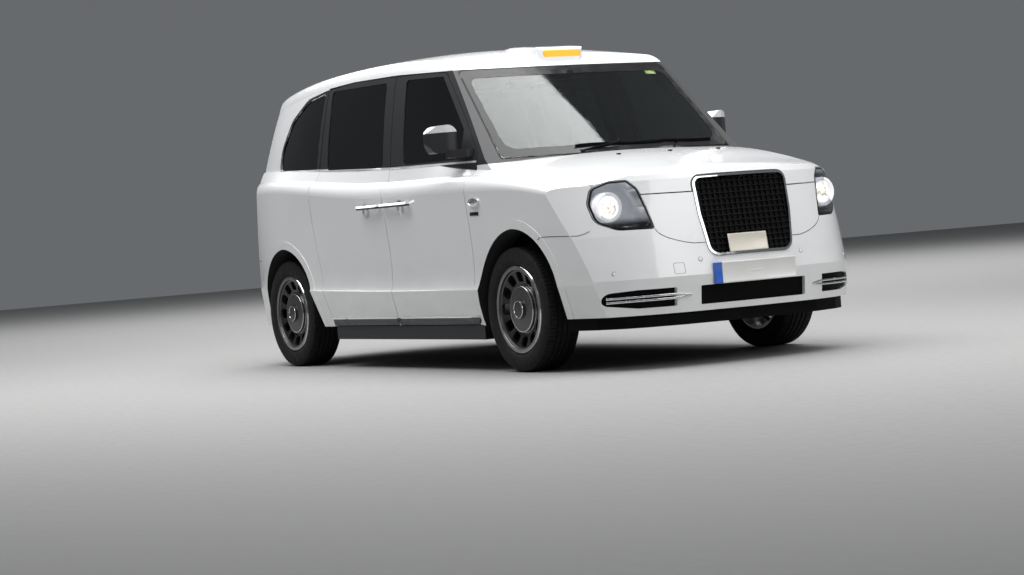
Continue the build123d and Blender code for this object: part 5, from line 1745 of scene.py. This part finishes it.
def swollen_pad(name, size):
    """A foam pad in its cover, swollen between its rounded edges."""
    thin = min(size)
    low = [-half / 2 + 0.008 for half in size]
    high = [half / 2 - 0.008 for half in size]
    piece = bar(name, low, high, thin * 0.32, 4)
    edit(piece)
    bpy.ops.mesh.subdivide(number_cuts=3)
    done()
    voxels = piece.modifiers.new("even", "REMESH")
    voxels.mode = "VOXEL"
    voxels.voxel_size = 0.016 if max(size) > 0.6 else 0.011
    apply_all(piece)
    start = [vertex.co.copy() for vertex in piece.data.vertices]
    cloth = piece.modifiers.new("foam", "CLOTH")
    cloth.settings.use_pressure = True
    cloth.settings.uniform_pressure_force = 4.0
    cloth.settings.effector_weights.gravity = 0.0
    cloth.settings.quality = 5
    cloth.point_cache.frame_start, cloth.point_cache.frame_end = 1, 20
    for frame_number in range(1, 21):
        bpy.context.scene.frame_set(frame_number)
    apply_all(piece)
    room = MOST_SWELL * thin / THICK_PAD
    for vertex, before in zip(piece.data.vertices, start):
        moved = vertex.co - before
        if moved.length > room:
            vertex.co = before + moved.normalized() * room
    for vertex in piece.data.vertices:
        for axis in range(3):
            edge_at = size[axis] / 2
            vertex.co[axis] = max(-edge_at, min(edge_at, vertex.co[axis]))
    bpy.context.scene.frame_set(1)
    finer = piece.modifiers.new("finer", "SUBSURF")
    finer.levels = finer.render_levels = 1
    apply_all(piece)
    return piece


for kind, size, copies in PADS:
    first = swollen_pad(kind, size)
    for name, middle, lean in copies:
        piece = copy_of(first.data, "pad_" + name)
        piece.location = middle
        piece.rotation_euler = (0, -math.radians(lean), 0)
        settle(piece, seat_weave, "root", 60)
    bpy.data.objects.remove(first)


# %% [markdown]
# The pads stand on moulded bases, and the head restraints on steel posts. These are bars with
# rounded edges. Together with the pads they stand for the plain blocks of the solids.

# %% Seat bases
driver_base = bar("driver_seat_base", (-0.015, -0.575, 0.346), (0.395, -0.185, 0.530), 0.015)
settle(driver_base, trim_plastic, "root")
bench_base = bar("bench_base", (-1.615, -0.478, 0.346), (-1.225, 0.478, 0.568), 0.015)
settle(bench_base, trim_plastic, "root")
posts = []
for x, y, z in ((-0.140, -0.380, 1.140), (-1.716, 0.350, 1.172), (-1.716, 0.0, 1.172),
                (-1.716, -0.350, 1.172)):
    for shift in (-0.05, 0.05):
        posts.append(button("post", (x, y + shift, z), (0.1, 0, 1), 0.006, 0.080, 0.001, 16))
settle(join("head_restraint_posts", posts), chrome, "root")
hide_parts("driver_seat")
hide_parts("rear_bench")
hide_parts("folding_seats")
print("seat bases made")
